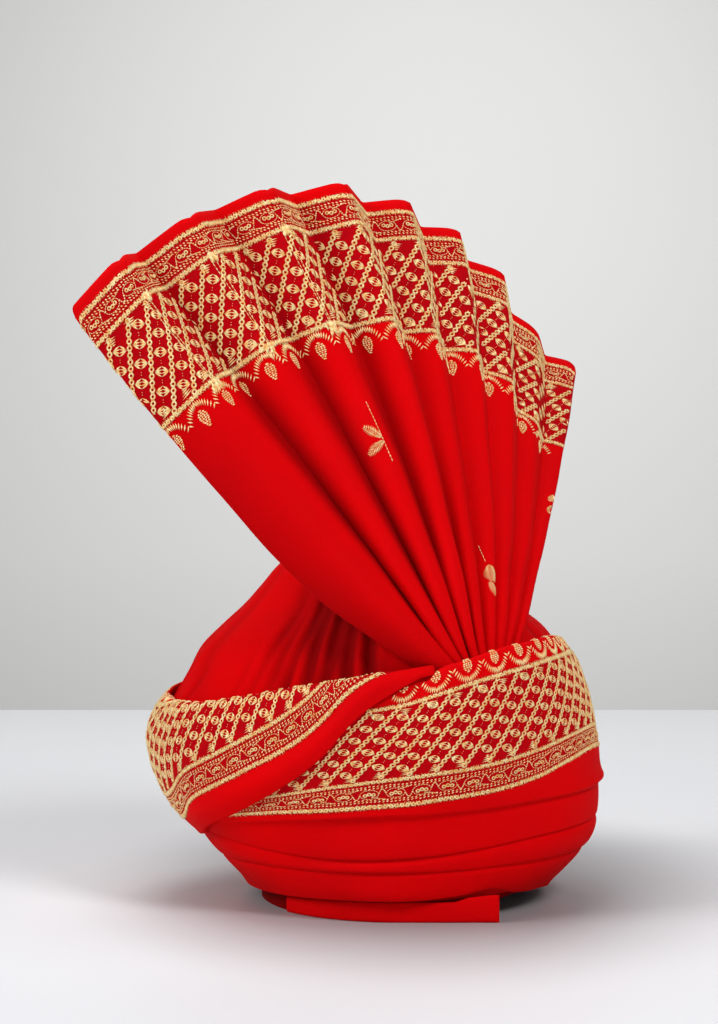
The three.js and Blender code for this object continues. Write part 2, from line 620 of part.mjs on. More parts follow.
// A wall of cloth on both sides of a grid of points, mitred at its folds
function clothBody(columns, wall) {
  const rows = columns[0].length;
  const at = (i, j) => columns[i][j];
  const points = [];
  for (const side of [1, -1]) {
    for (let i = 0; i < columns.length; i += 1) {
      for (let j = 0; j < rows; j += 1) {
        const p = at(i, j);
        const up = at(i, Math.min(j + 1, rows - 1)).clone().sub(at(i, Math.max(j - 1, 0)));
        const before = p.clone().sub(at(Math.max(i - 1, 0), j));
        const after = at(Math.min(i + 1, columns.length - 1), j).clone().sub(p);
        const a = (i > 0 ? before : after).clone().cross(up).normalize();
        const b = (i < columns.length - 1 ? after : before).clone().cross(up).normalize();
        const mitre = a.clone().add(b).divideScalar(1 + a.dot(b)).clampLength(0, mitreLimit);
        points.push(p.clone().addScaledVector(mitre, side * wall / 2));
      }
    }
  }
  const half = columns.length * rows;
  const faces = [];
  const quad = (a, b, c, d) => faces.push([a, b, c], [a, c, d]);
  for (let i = 0; i < columns.length - 1; i += 1) {
    for (let j = 0; j < rows - 1; j += 1) {
      const a = i * rows + j;
      quad(a, a + rows, a + rows + 1, a + 1);
      quad(half + a, half + a + 1, half + a + rows + 1, half + a + rows);
    }
  }
  for (let i = 0; i < columns.length - 1; i += 1) {
    const a = i * rows;
    const top = a + rows - 1;
    quad(a, half + a, half + a + rows, a + rows);
    quad(top, top + rows, half + top + rows, half + top);
  }
  for (let j = 0; j < rows - 1; j += 1) {
    const end = (columns.length - 1) * rows + j;
    quad(j, j + 1, half + j + 1, half + j);
    quad(end, half + end, half + end + 1, end + 1);
  }
  return closedBody(points, faces);
}

// The folded strip under the front: round the head ring on the left, straight on the right
function frontFlap() {
  const halfX = headWidth / 2 + linerWall + layGap + flapWall / 2;
  const halfY = headLength / 2 + linerWall + layGap + flapWall / 2;
  const stops = [];
  for (const azimuth of ringStations()) {
    if (azimuth >= flapStart && azimuth <= 270) {
      const bent = radians(azimuth);
      const radius = quarterRadius(azimuth, { left: halfX, right: halfX, front: halfY, back: halfY });
      stops.push(new THREE.Vector2(radius * Math.cos(bent), radius * Math.sin(bent)));
    }
  }
  for (const share of flapStations) {
    stops.push(new THREE.Vector2(flapLength * share, -halfY));
  }
  const loops = stops.map((stop, i) => {
    const before = stops[Math.max(0, i - 1)];
    const after = stops[Math.min(stops.length - 1, i + 1)];
    const out = after.clone().sub(before).normalize();
    const normal = new THREE.Vector3(out.y, -out.x, 0);
    const azimuth = THREE.MathUtils.radToDeg(Math.atan2(stop.y, stop.x));
    const end = i === 0 || i === stops.length - 1 ? flapRound : 0;
    const lifts = THREE.MathUtils.smoothstep(stop.x, flapLength * flapLiftFrom, flapLength * flapLiftTo);
    const under = wrapEdge(azimuth, 'lower') - flapLap - layGap;
    const top = Math.min(under, crownRim - layGap + flapLift * lifts) - (i === 0 ? flapStartDrop : 0);
    const at = (side, z) => new THREE.Vector3(stop.x, stop.y, z).addScaledVector(normal, side * flapWall / 2);
    return [
      at(-1, end / 2), at(-flapFoot, 0), at(flapFoot, 0), at(1, flapHem + end / 2),
      at(1, top - flapRound), at(flapCrest, top), at(-flapCrest, top), at(-1, top - flapRound),
    ];
  });
  return sweptBody(loops, false);
}

const turban = new THREE.Group();

function addPiece(name, geometry, material) {
  const mesh = new THREE.Mesh(geometry, material);
  mesh.name = name;
  turban.add(mesh);
}

addPiece('head_liner', headLiner(), shadeRed);
addPiece('crown', crown(), clothRed);
addPiece('wrap_lower', wrap('lower', 'middle', footSlant, wrapSlant, [0.67, 0.33]), clothRed);
addPiece('wrap_middle', wrap('middle', 'upper', wrapSlant, wrapSlant, [0.5]), clothRed);
addPiece('wrap_upper', wrap('upper', 'top', wrapSlant, 0, [0.5]), clothRed);
addPiece('border_wrap', borderWrap(), borderRed);
addPiece('fan', clothBody(fanColumns(), fanWall), clothRed);
addPiece('front_flap', frontFlap(), clothRed);

export default turban;
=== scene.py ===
import math

import bpy
import numpy as np
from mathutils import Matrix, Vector


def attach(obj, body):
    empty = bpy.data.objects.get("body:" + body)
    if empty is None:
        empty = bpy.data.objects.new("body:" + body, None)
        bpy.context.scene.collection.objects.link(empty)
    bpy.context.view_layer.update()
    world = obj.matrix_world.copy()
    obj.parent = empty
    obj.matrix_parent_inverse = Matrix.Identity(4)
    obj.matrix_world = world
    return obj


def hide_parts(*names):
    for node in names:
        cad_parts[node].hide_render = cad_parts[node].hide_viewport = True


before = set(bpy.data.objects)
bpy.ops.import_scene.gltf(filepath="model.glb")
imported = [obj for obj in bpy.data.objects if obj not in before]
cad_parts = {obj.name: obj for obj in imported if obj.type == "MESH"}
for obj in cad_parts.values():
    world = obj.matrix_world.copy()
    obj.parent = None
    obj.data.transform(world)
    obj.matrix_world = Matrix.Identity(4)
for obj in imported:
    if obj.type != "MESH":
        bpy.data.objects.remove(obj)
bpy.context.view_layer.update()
mm = 0.001

print("turban: frame loaded")

camera = {
    "target": (-0.0234, 0.0, 0.230),
    "elevation": 3.0,
    "distance": 2.0,
    "sensor": 36.0,
    "imageHeight": 1024,
    "focalPixels": 3333.33,
}


def addCamera():
    tilt = math.radians(camera["elevation"])
    target = Vector(camera["target"])
    away = Vector((0, -math.cos(tilt), math.sin(tilt)))
    data = bpy.data.cameras.new("photoCamera")
    data.sensor_width = camera["sensor"]
    data.lens = camera["focalPixels"] * camera["sensor"] / camera["imageHeight"]
    data.clip_end = 50
    view = bpy.data.objects.new("photoCamera", data)
    view.location = target + away * camera["distance"]
    view.rotation_euler = (math.radians(90 - camera["elevation"]), 0, 0)
    bpy.context.collection.objects.link(view)
    bpy.context.scene.camera = view


def table(columns, *rows):
    return [dict(zip(columns.split(), row)) for row in rows]


def smoothCurve(rows, key, column, period=0):
    # a smooth function through the rows of a table; with a period it runs round a circle
    keys = np.array([row[key] for row in rows], float)
    values = np.array([row[column] for row in rows], float)
    if period:
        keys = np.concatenate([keys[-2:] - period, keys, keys[:2] + period])
        values = np.concatenate([values[-2:], values, values[:2]])
    spans = np.diff(keys)
    chords = np.diff(values) / spans
    slopes = np.concatenate([chords[:1], (chords[:-1] + chords[1:]) / 2, chords[-1:]])

    def valueAt(at):
        at = np.asarray(at, float)
        if period:
            at = at % period
        i = np.clip(np.searchsorted(keys, at) - 1, 0, len(spans) - 1)
        t = np.clip((at - keys[i]) / spans[i], 0, 1)
        bend = slopes[i] * (1 - t) - slopes[i + 1] * t
        return values[i] + (values[i + 1] - values[i]) * (3 - 2 * t) * t * t + spans[i] * t * (1 - t) * bend

    return valueAt


def mix(a, b, share):
    return a + (b - a) * share


def smoothStep(value, low, high):
    t = np.clip((value - low) / (high - low), 0, 1)
    return t * t * (3 - 2 * t)


def soften(line, times):
    # cuts the corners of a bent line, rows first, and keeps its two ends
    for _ in range(times):
        near = mix(line[:-1], line[1:], 0.25)
        far = mix(line[:-1], line[1:], 0.75)
        middle = np.stack([near, far], axis=1).reshape((-1,) + line.shape[1:])
        line = np.concatenate([line[:1], middle, line[-1:]])
    return line


def lengthsAlong(line):
    steps = np.linalg.norm(np.diff(line, axis=0), axis=-1)
    return np.concatenate([[0], np.cumsum(steps)])


def spread(*values):
    # one grid of points from values that each run along its rows, its columns or both
    return np.stack(np.broadcast_arrays(*values), axis=-1)


def onRing(azimuth, radius, z):
    # points from their direction round the head, their radius and their height
    a = np.radians(azimuth)
    return spread(radius * np.cos(a), radius * np.sin(a), z)


def turnFrom(azimuth, middle):
    return (azimuth - middle + 540) % 360 - 180


def waves(u, v, pitchU, pitchV, seed, count=5):
    # slow uneven ripples between about -1 and 1
    draw = np.random.default_rng(seed)
    total = np.zeros(np.broadcast(u, v).shape)
    for _ in range(count):
        turn = draw.uniform(-0.5, 0.5)
        grow = draw.uniform(0.6, 1.7)
        phase = draw.uniform(0, 2 * math.pi)
        total += np.sin(2 * math.pi * grow * (u / pitchU + turn * v / pitchV) + phase)
        total += np.sin(2 * math.pi * grow * (v / pitchV - turn * u / pitchU) + 2 * phase)
    return total / (2 * count) ** 0.5 * 0.7


def normalsOf(points):
    along = np.gradient(points, axis=1)
    up = np.gradient(points, axis=0)
    out = np.cross(along, up)
    return out / np.maximum(np.linalg.norm(out, axis=-1, keepdims=True), 1e-9)


# Cloth pieces as meshes

weldGap = 0.02
faceOutward = (bpy.ops.mesh.normals_make_consistent, {"inside": False})


def onWholeMesh(piece, *steps):
    # runs mesh operators on the whole of one piece
    bpy.ops.object.select_all(action="DESELECT")
    piece.select_set(True)
    bpy.context.view_layer.objects.active = piece
    bpy.ops.object.mode_set(mode="EDIT")
    bpy.ops.mesh.select_all(action="SELECT")
    for operator, settings in steps:
        operator(**settings)
    bpy.ops.object.mode_set(mode="OBJECT")


def clothFrom(name, points, flat, wall, offset=-1.0, weld=True, hollow=None):
    # a sheet over a grid of points; flat is each point's place on the uncut cloth, kept as its UV,
    # and a grid of values from 0 to 1 may give each point painted shade, for folds and shadowed places
    rows, columns = points.shape[:2]
    bpy.ops.object.select_all(action="DESELECT")
    bpy.ops.mesh.primitive_grid_add(x_subdivisions=columns - 1, y_subdivisions=rows - 1, size=1)
    piece = bpy.context.object
    piece.name = piece.data.name = name
    mesh = piece.data
    mesh.vertices.foreach_set("co", (points * mm).ravel())
    corners = np.empty(len(mesh.loops), np.int32)
    mesh.loops.foreach_get("vertex_index", corners)
    mesh.uv_layers[0].name = "cloth"
    mesh.uv_layers[0].data.foreach_set("uv", (flat.reshape(-1, 2)[corners] * mm).ravel())
    # the painted shade values are kept on the points for the material to darken the colour with
    if hollow is not None:
        paintedShadeLayer = mesh.attributes.new("hollow", "FLOAT", "POINT")
        paintedShadeLayer.data.foreach_set("value", np.broadcast_to(hollow, (rows, columns)).ravel())
    mesh.update()
    if weld:
        onWholeMesh(piece, (bpy.ops.mesh.remove_doubles, {"threshold": weldGap * mm}))
    if wall:
        solid = piece.modifiers.new("wall", "SOLIDIFY")
        solid.thickness = wall * mm
        solid.offset = offset
        bpy.ops.object.modifier_apply(modifier=solid.name)
    bpy.ops.object.shade_smooth()
    return piece


def finishPiece(piece, material, slotName, *nodes):
    piece.data.materials.clear()
    piece.data.materials.append(material)
    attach(piece, "root")
    if nodes:
        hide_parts(*nodes)
    print("turban:", piece.name, len(piece.data.polygons), "faces")


# The cap, and the radius at which everything else lies on it

head = {"width": 158, "length": 196, "wall": 3, "rise": 30, "columns": 240, "ripple": 0.15, "perDegree": 1.55}
lay = {"gap": 0.35, "slack": 0.9}
cap = {
    "wall": 2.4,
    "rim": 12,
    "bowlRise": 150,
    "domeRise": 78,
    "domeShift": -12,
    "left": 57,
    "right": 29,
    "front": 8,
    "back": 22,
    "foldDepth": 5,
    "foldStart": (0.72, 0.9),
    "foldEnd": (0.3, 0.9),
    "creaseMiddle": 150,
    "creaseStart": (-8, 8),
    "creaseEnd": (-18, 6),
    "lip": 0.45,
    "lipAway": 2.2,
    "columns": 480,
    "levelRows": 5,
    "poleRows": 8,
    "perDegree": 1.9,
    "wrinkle": 0.35,
    "skin": 1.9,
    # painted shade: the press depth that gives full painted shade, then where the painted shadow of the fan
    # lies on the crown
    "paintedShadeFullAt": 4.2,
    "shade": 0.75,
    "shadeTurn": 252,
    "shadeHalf": 12,
    "shadeRise": 170,
    "shadeTall": 32,
}
bowlTable = table(
    "rise left right front back shift",
    (0.080, 0.00, 0.00, 0.00, 0.00, 0.00),
    (0.133, 0.16, 0.37, 0.22, 0.19, 0.00),
    (0.200, 0.33, 0.70, 0.47, 0.42, 0.00),
    (0.267, 0.47, 0.92, 0.72, 0.63, 0.00),
    (0.400, 0.74, 0.99, 0.94, 0.88, 0.00),
    (0.533, 0.93, 1.00, 1.00, 1.00, 0.00),
    (0.667, 0.98, 0.94, 1.00, 0.97, 0.00),
    (0.800, 0.86, 0.75, 0.66, 0.78, 0.03),
    (0.907, 0.69, 0.60, 0.16, 0.51, 0.15),
    (1.000, 0.52, 0.51, -0.34, 0.19, 0.33),
)
domeTable = table(
    "rise left rest shift",
    (0.154, 0.873, 0.930, 0.50),
    (0.308, 0.732, 0.800, 0.75),
    (0.460, 0.623, 0.690, 0.92),
    (0.630, 0.515, 0.560, 1.00),
    (0.800, 0.365, 0.395, 1.00),
    (0.930, 0.205, 0.220, 1.00),
)
capFolds = table(
    "azimuth halfWidth depth",
    (184, 5, 0.25),
    (199, 5, 0.25),
    (232, 5, 0.45),
    (243, 4, 0.65),
    (253, 4, 0.65),
    (263, 4, 0.55),
    (20, 7, 0.50),
    (75, 8, 0.60),
    (128, 8, 0.60),
)
capCreases = table(
    "azimuth low high halfWidth depth lean",
    (190.0, 112, 150, 1.3, 1.2, 0.24),
    (203.0, 110, 140, 1.4, 0.8, 0.24),
    (222.0, 120, 160, 1.8, 0.9, 0.20),
    (227.0, 118, 178, 1.7, 1.5, 0.20),
    (232.0, 118, 185, 1.6, 1.2, 0.20),
    (237.0, 118, 190, 1.7, 1.9, 0.18),
    (242.5, 118, 190, 1.6, 1.5, 0.16),
    (249.0, 118, 190, 1.7, 2.0, 0.14),
    (255.5, 118, 190, 1.6, 1.6, 0.12),
    (262.0, 118, 190, 1.7, 1.8, 0.10),
    (318.0, 140, 200, 2.2, 1.2, 0.10),
    (335.0, 140, 195, 2.4, 1.4, 0.10),
    (12.0, 135, 195, 2.2, 1.2, -0.10),
    (48.0, 130, 190, 2.4, 1.3, 0.12),
    (82.0, 132, 196, 2.2, 1.2, -0.12),
    (104.0, 128, 188, 2.4, 1.4, 0.10),
    (140.0, 126, 184, 2.2, 1.3, -0.10),
    (166.0, 124, 180, 2.4, 1.2, 0.12),
)


def capRows():
    seat = head["wall"] + lay["gap"] + cap["wall"]
    rows = []
    for row in bowlTable:
        rows.append({
            "z": row["rise"] * cap["bowlRise"],
            "left": head["width"] / 2 + seat + cap["left"] * row["left"],
            "right": head["width"] / 2 + seat + cap["right"] * row["right"],
            "front": head["length"] / 2 + seat + cap["front"] * row["front"],
            "back": head["length"] / 2 + seat + cap["back"] * row["back"],
            "shift": row["shift"] * cap["domeShift"],
        })
    top = rows[-1]
    for row in domeTable:
        level = {side: top[side] * row["rest"] for side in ("right", "front", "back")}
        level["left"] = top["left"] * row["left"]
        level["z"] = cap["bowlRise"] + row["rise"] * cap["domeRise"]
        level["shift"] = row["shift"] * cap["domeShift"]
        rows.append(level)
    return rows


capLevels = capRows()
sideCurves = {side: smoothCurve(capLevels, "z", side) for side in ("left", "right", "front", "back", "shift")}


def quarterRadius(azimuth, left, right, front, back):
    c, s = np.cos(np.radians(azimuth)), np.sin(np.radians(azimuth))
    return 1 / np.hypot(c / np.where(c > 0, right, left), s / np.where(s > 0, back, front))


def capRadius(azimuth, z):
    sides = [sideCurves[side](z) for side in ("left", "right", "front", "back")]
    return quarterRadius(azimuth, *sides)


def coreRadius(azimuth, z):
    z = np.maximum(z, cap["rim"])
    return capRadius(azimuth, z) + sideCurves["shift"](z) * np.cos(np.radians(azimuth))


def foldPress(azimuth, z):
    start = [cap["bowlRise"] * share for share in cap["foldStart"]]
    end = [cap["bowlRise"] + cap["domeRise"] * share for share in cap["foldEnd"]]
    shown = smoothStep(z, *start) * (1 - smoothStep(z, *end))
    press = 0
    for fold in capFolds:
        away = turnFrom(azimuth, fold["azimuth"]) / fold["halfWidth"]
        press = press + fold["depth"] * np.exp(-away * away)
    return cap["foldDepth"] * shown * press


def creasePress(azimuth, z):
    # fine creases, each with a soft lip on both sides
    press = 0
    for crease in capCreases:
        middle = crease["azimuth"] + crease["lean"] * (z - cap["creaseMiddle"])
        away = turnFrom(azimuth, middle) / crease["halfWidth"]
        start = [crease["low"] + more for more in cap["creaseStart"]]
        end = [crease["high"] + more for more in cap["creaseEnd"]]
        reach = smoothStep(z, *start) * (1 - smoothStep(z, *end))
        lip = cap["lip"] * np.exp(-((np.abs(away) - cap["lipAway"]) ** 2))
        press = press + crease["depth"] * reach * (np.exp(-away * away) - lip)
    return press


def makeCap(material):
    azimuth = np.linspace(0, 360, cap["columns"] + 1)[None, :]
    levels = np.array([row["z"] for row in capLevels])
    rows = [np.linspace(a, b, cap["levelRows"] + 1)[:-1] for a, b in zip(levels[:-1], levels[1:])]
    z = np.concatenate([*rows, levels[-1:]])[:, None]
    ripple = cap["wrinkle"] * waves(azimuth % 360, z, 60, 90, 3) * np.sin(np.radians(azimuth / 2)) ** 2
    pressed = foldPress(azimuth, z) + creasePress(azimuth, z)
    radius = capRadius(azimuth, z) - pressed + ripple
    side = onRing(azimuth, radius, z)
    side[..., 0] += sideCurves["shift"](z)
    share = np.linspace(1, 0, cap["poleRows"] + 1)[1:, None]
    top = cap["bowlRise"] + cap["domeRise"]
    crown = onRing(azimuth, capRadius(azimuth, levels[-1]) * share, top - (top - levels[-1]) * share**2)
    crown[..., 0] += cap["domeShift"]
    points = np.concatenate([side, crown])
    flat = spread(azimuth * cap["perDegree"], lengthsAlong(points[:, 0])[:, None])
    # painted shadow of the fan on the crown beside the fan's lower left edge, and painted shade in the
    # pressed folds and creases; both darken the crown's colour
    aside = (azimuth - cap["shadeTurn"]) / cap["shadeHalf"]
    above = (z - cap["shadeRise"]) / cap["shadeTall"]
    paintedFanShadow = cap["shade"] * np.exp(-(aside**2 + above**2))
    hollow = np.zeros(points.shape[:2])
    hollow[: len(z)] = np.clip(pressed / cap["paintedShadeFullAt"] + paintedFanShadow, 0, 1)
    piece = clothFrom("crownCloth", points, flat, cap["skin"], hollow=hollow)
    finishPiece(piece, material, "red_cloth", "crown")


ringHeights = np.array([0.0, 0.03, 0.12, 0.3, 0.5, 0.7, 0.9, 0.97, 1.0])[:, None]


def makeHeadRing(material):
    azimuth = np.linspace(0, 360, head["columns"] + 1)[None, :]
    inner = quarterRadius(azimuth, *[head["width"] / 2] * 2, *[head["length"] / 2] * 2)
    rim = np.maximum(0, wrapEdge(azimuth, "rim"))
    z = mix(rim, head["rise"], ringHeights)
    radius = inner + head["wall"] + head["ripple"] * waves(azimuth, z * 6, 40, 60, 4)
    points = onRing(azimuth, radius, z)
    flat = spread(azimuth * head["perDegree"], z)
    piece = clothFrom("headRing", points, flat, head["wall"])
    finishPiece(piece, material, "shade_cloth", "head_liner")


# The wraps round the bowl

wraps = {"wall": 5.8, "edgeLap": 0.9, "skin": 1.2, "columns": 360, "ripple": 0.28, "perDegree": 2.2}
wrapPieces = table(
    "name node low high lowSlant highSlant seed",
    ("wrapLowerCloth", "wrap_lower", "lower", "middle", 1.5, 7, 31),
    ("wrapMiddleCloth", "wrap_middle", "middle", "upper", 7, 7, 32),
    ("wrapUpperCloth", "wrap_upper", "upper", "top", 7, 0, 33),
)
wrapTable = table(
    "azimuth rim lower middle upper top",
    (0, 0.027, 0.034, 0.215, 0.330, 0.530),
    (45, 0.000, 0.022, 0.205, 0.325, 0.520),
    (90, 0.000, 0.020, 0.190, 0.300, 0.480),
    (135, 0.000, 0.027, 0.175, 0.275, 0.430),
    (180, 0.000, 0.047, 0.180, 0.290, 0.420),
    (206, 0.000, 0.060, 0.190, 0.285, 0.430),
    (230, 0.000, 0.070, 0.195, 0.255, 0.480),
    (252, 0.000, 0.080, 0.195, 0.238, 0.530),
    (272, 0.000, 0.084, 0.200, 0.248, 0.550),
    (290, 0.000, 0.100, 0.205, 0.273, 0.555),
    (300, 0.033, 0.112, 0.210, 0.290, 0.555),
    (312, 0.058, 0.082, 0.213, 0.308, 0.550),
    (335, 0.052, 0.062, 0.216, 0.322, 0.540),
)
wrapProfile = table(
    "share bulk",
    (0.00, 0.80),
    (0.10, 1.00),
    (0.45, 1.00),
    (0.78, 0.97),
    (1.00, 0.78),
)


def wrapEdge(azimuth, edge):
    return cap["bowlRise"] * smoothCurve(wrapTable, "azimuth", edge, 360)(azimuth)


def makeWrap(wrap, material):
    azimuth = np.linspace(0, 360, wraps["columns"] + 1)
    low = wrapEdge(azimuth, wrap["low"])
    high = wrapEdge(azimuth, wrap["high"]) - wraps["edgeLap"]
    foot, top = low + wrap["lowSlant"], high + wrap["highSlant"]
    base = lay["gap"] + lay["slack"]
    line = [(coreRadius(azimuth, foot) + base, foot)]
    for row in wrapProfile:
        z = mix(low, high, row["share"])
        line.append((coreRadius(azimuth, z) + base + wraps["wall"] * row["bulk"], z))
    line.append((coreRadius(azimuth, top) + base, top))
    rows = soften(np.array(line).transpose(0, 2, 1), 3)
    radius, z = rows[..., 0], rows[..., 1]
    across = lengthsAlong(rows[:, 0])[:, None]
    middle = np.sin(np.linspace(0, math.pi, len(rows)))[:, None] ** 0.5
    ripple = waves(azimuth[None, :] % 360, across + 0.05 * azimuth, 75, 22, wrap["seed"])
    points = onRing(azimuth[None, :], radius + wraps["ripple"] * middle * ripple, z)
    points[:, -1] = points[:, 0]
    piece = clothFrom(wrap["name"], points, spread(azimuth * wraps["perDegree"], across), wraps["skin"])
    finishPiece(piece, material, "red_cloth", wrap["node"])


# The border cloth: where its parts lie, counted from the hem's edge

border = {
    "hem": 6.5,
    "line": 4,
    "vine": 14,
    "field": 58,
    "scallop": 16,
    "chainPitch": 12.5,
    "ringPitch": 3.7,
    "leafPitch": 10.8,
    "vinePitch": 14.7,
    "scallopPitch": 20,
    "chainLean": 0.74,
}


def borderPlaces():
    places = {"line1": border["hem"] + border["line"] / 2}
    places["vine"] = border["hem"] + border["line"] + border["vine"] / 2
    places["line2"] = places["vine"] + border["vine"] / 2 + border["line"] / 2
    places["fieldStart"] = places["line2"] + border["line"] / 2
    places["fieldEnd"] = places["fieldStart"] + border["field"]
    places["line3"] = places["fieldEnd"] + border["line"] / 2
    places["scallop"] = places["line3"] + border["line"] / 2
    places["end"] = places["scallop"] + border["scallop"]
    return places


places = borderPlaces()

# The border's strip, once round the cap and over its own start

band = {
    "wall": 2.2,
    "skin": 1.3,
    "stand": 20,
    "roll": 2.2,
    "foldOver": 262,
    "leastCurl": 25,
    "fullCurl": 0.2,
    "tuck": 19,
    "bellyCurve": 1.5,
    "below": (1, 0.75, 0.35),
    "above": (0.05, 0.45, 0.8, 1),
    "hemRoll": 1.0,
    "hemTurn": 2.5,
    "step": 1.25,
    "rows": 92,
    "shrink": 0.9,
    "ripple": 0.3,
    "overHem": 16,
    "puff": 2.6,
    "puffFrom": (195, 215),
    "puffTo": (262, 274),
    "tipTurn": 279.4,
    "slantReach": 7,
    "patternEnds": (-40, 140),
    "findRounds": 12,
    "findStep": 0.7,
}
bandTable = table(
    "turn hem belly top hemOut bellyOut topOut tuck",
    (-145, 0.360, 0.467, 0.587, 0.42, 0.40, 0.40, 0.0),
    (-134, 0.380, 0.500, 0.653, 0.42, 0.40, 0.40, 0.0),
    (-120, 0.400, 0.533, 0.707, 0.42, 0.40, 0.40, 0.0),
    (-110, 0.410, 0.567, 0.753, 0.42, 0.40, 0.40, 0.0),
    (-100, 0.422, 0.600, 0.807, 0.42, 0.41, 0.41, 0.0),
    (-92, 0.428, 0.627, 0.873, 0.42, 0.44, 0.46, 0.0),
    (-86, 0.430, 0.647, 0.912, 0.42, 0.52, 0.58, 0.0),
    (-82, 0.432, 0.653, 0.925, 0.42, 0.57, 0.74, 0.0),
    (-78, 0.436, 0.653, 0.975, 0.42, 0.60, 0.88, 0.1),
    (-73, 0.440, 0.653, 1.000, 0.42, 0.60, 0.92, 0.2),
    (-64, 0.448, 0.640, 1.030, 0.42, 0.58, 0.92, 0.2),
    (-50, 0.463, 0.620, 1.053, 0.42, 0.50, 0.82, 0.2),
    (-27, 0.473, 0.580, 1.053, 0.42, 0.32, 0.44, 0.1),
    (0, 0.484, 0.560, 1.015, 0.42, 0.29, 0.17, 0.0),
    (45, 0.467, 0.580, 0.973, 0.42, 0.35, 0.38, 0.1),
    (90, 0.407, 0.560, 0.920, 0.42, 0.38, 0.44, 0.12),
    (135, 0.333, 0.560, 0.853, 0.42, 0.42, 0.42, 0.12),
    (180, 0.280, 0.627, 0.800, 0.42, 0.45, 0.20, 0.0),
    (200, 0.287, 0.613, 0.803, 0.45, 0.54, 0.34, 0.3),
    (212, 0.347, 0.620, 0.817, 0.63, 0.66, 0.50, 0.6),
    (223, 0.407, 0.650, 0.847, 0.65, 0.69, 0.62, 0.8),
    (232, 0.473, 0.690, 0.873, 0.65, 0.69, 0.64, 0.9),
    (240, 0.543, 0.733, 0.898, 0.65, 0.69, 0.65, 0.9),
    (246, 0.607, 0.773, 0.914, 0.65, 0.69, 0.65, 0.8),
    (251, 0.677, 0.813, 0.927, 0.65, 0.69, 0.66, 0.6),
    (255, 0.750, 0.847, 0.935, 0.65, 0.69, 0.67, 0.4),
    (260, 0.822, 0.880, 0.946, 0.66, 0.70, 0.68, 0.1),
    (266, 0.880, 0.910, 0.957, 0.69, 0.73, 0.70, 0.0),
    (271, 0.922, 0.937, 0.966, 0.74, 0.77, 0.74, 0.0),
    (276, 0.955, 0.957, 0.977, 0.74, 0.76, 0.74, 0.0),
    (280, 0.962, 0.973, 0.984, 0.70, 0.71, 0.70, 0.0),
)
lineTable = table(
    "turn line1 line2 line3",
    (-145, 4.5, 12.0, 46.0),
    (-125, 4.5, 13.4, 50.0),
    (-110, 4.5, 17.0, 56.0),
    (-100, 4.8, 18.6, 58.5),
    (-90, 5.6, 20.6, 61.4),
    (-80, 8.0, 23.1, 67.3),
    (-70, 9.5, 24.5, 72.3),
    (-60, 11.1, 26.4, 75.1),
    (-50, 13.8, 28.7, 76.6),
    (-40, 17.9, 31.3, 78.0),
    (-30, 21.0, 33.2, 78.7),
    (-18, 22.0, 33.6, 78.5),
    (0, 17.9, 30.0, 75.7),
    (20, 12.0, 26.5, 76.0),
    (45, 9.3, 25.5, 81.3),
    (175, 9.3, 25.5, 81.3),
    (200, 14.5, 31.0, 86.5),
    (215, 17.8, 34.0, 89.8),
    (228, 18.0, 34.0, 89.8),
    (240, 16.3, 32.5, 88.3),
    (252, 13.8, 30.0, 85.8),
    (262, 11.8, 28.0, 83.8),
    (280, 10.5, 26.0, 82.0),
)
lineCurves = {column: smoothCurve(lineTable, "turn", column) for column in lineTable[0] if column != "turn"}
bandCurves = {column: smoothCurve(bandTable, "turn", column) for column in bandTable[0] if column != "turn"}


def bandLine(turn):
    # the strip's section at one turn as (radius, height): hem, belly, top, roll inward, hang
    value = {column: float(curve(turn)) for column, curve in bandCurves.items()}
    hemZ, bellyZ, topZ = (value[name] * cap["bowlRise"] for name in ("hem", "belly", "top"))
    hemR, bellyR, topR = (
        float(coreRadius(turn, z)) + band["stand"] * value[out] + band["wall"] / 2
        for z, out in ((hemZ, "hemOut"), (bellyZ, "bellyOut"), (topZ, "topOut"))
    )
    tuck = max(0.0, value["tuck"])
    curve = band["bellyCurve"]
    line = []
    for shares, endR, endZ in ((band["below"], hemR, hemZ), (band["above"], topR, topZ)):
        for t in shares:
            line.append((mix(bellyR, endR, 1 - (1 - t**curve) ** (1 / curve)), mix(bellyZ, endZ, t)))
    heading = math.atan2(line[6][1] - line[5][1], line[6][0] - line[5][0])
    fullCurl = math.radians(band["foldOver"]) - heading
    curl = mix(math.radians(band["leastCurl"]), fullCurl, min(1, tuck / band["fullCurl"]))
    spot = np.array(line[6])
    for _ in range(2):
        heading += curl / 2
        spot = spot + band["roll"] * curl / 2 * np.array([math.cos(heading), math.sin(heading)])
        line.append(spot)
    hang = band["tuck"] * tuck + band["roll"] / 3
    line.append(spot + hang * np.array([math.cos(heading), math.sin(heading)]))
    return np.array([np.array(p, float) for p in line])


def bandGrid():
    first, last = bandTable[0]["turn"], band["tipTurn"]
    turns = np.linspace(first, last, int((last - first) / band["step"]) + 1)
    points = np.empty((band["rows"], len(turns), 3))
    lengths = np.empty(len(turns))
    shares = np.linspace(0, 1, band["rows"])
    for i, turn in enumerate(turns):
        line = soften(bandLine(turn), 3)
        roll = band["hemRoll"]
        angles = np.radians(np.linspace(180, 360, 7))[:-1]
        centre = line[0] + np.array([-roll, roll])
        under = centre + roll * np.stack([np.cos(angles), np.sin(angles)], axis=1)
        start = under[0] + np.array([0, band["hemTurn"] * roll])
        run = lengthsAlong(line)
        size = run[-1]
        puff = band["puff"] * smoothStep(turn, *band["puffFrom"]) * (1 - smoothStep(turn, *band["puffTo"]))
        swell = puff * np.sin(np.clip(run / band["overHem"], 0, 1) * math.pi)
        line = line + np.stack([swell, np.zeros(len(run))], axis=1)
        line = np.concatenate([[start], under, line + np.array([0, roll])])
        line[:, 1] -= roll * 0.5
        run = lengthsAlong(line)
        at = shares * run[-1]
        radius = np.interp(at, run, line[:, 0])
        height = np.interp(at, run, line[:, 1])
        points[:, i] = onRing(turn, radius, height)
        lengths[i] = size
    return turns, points, lengths


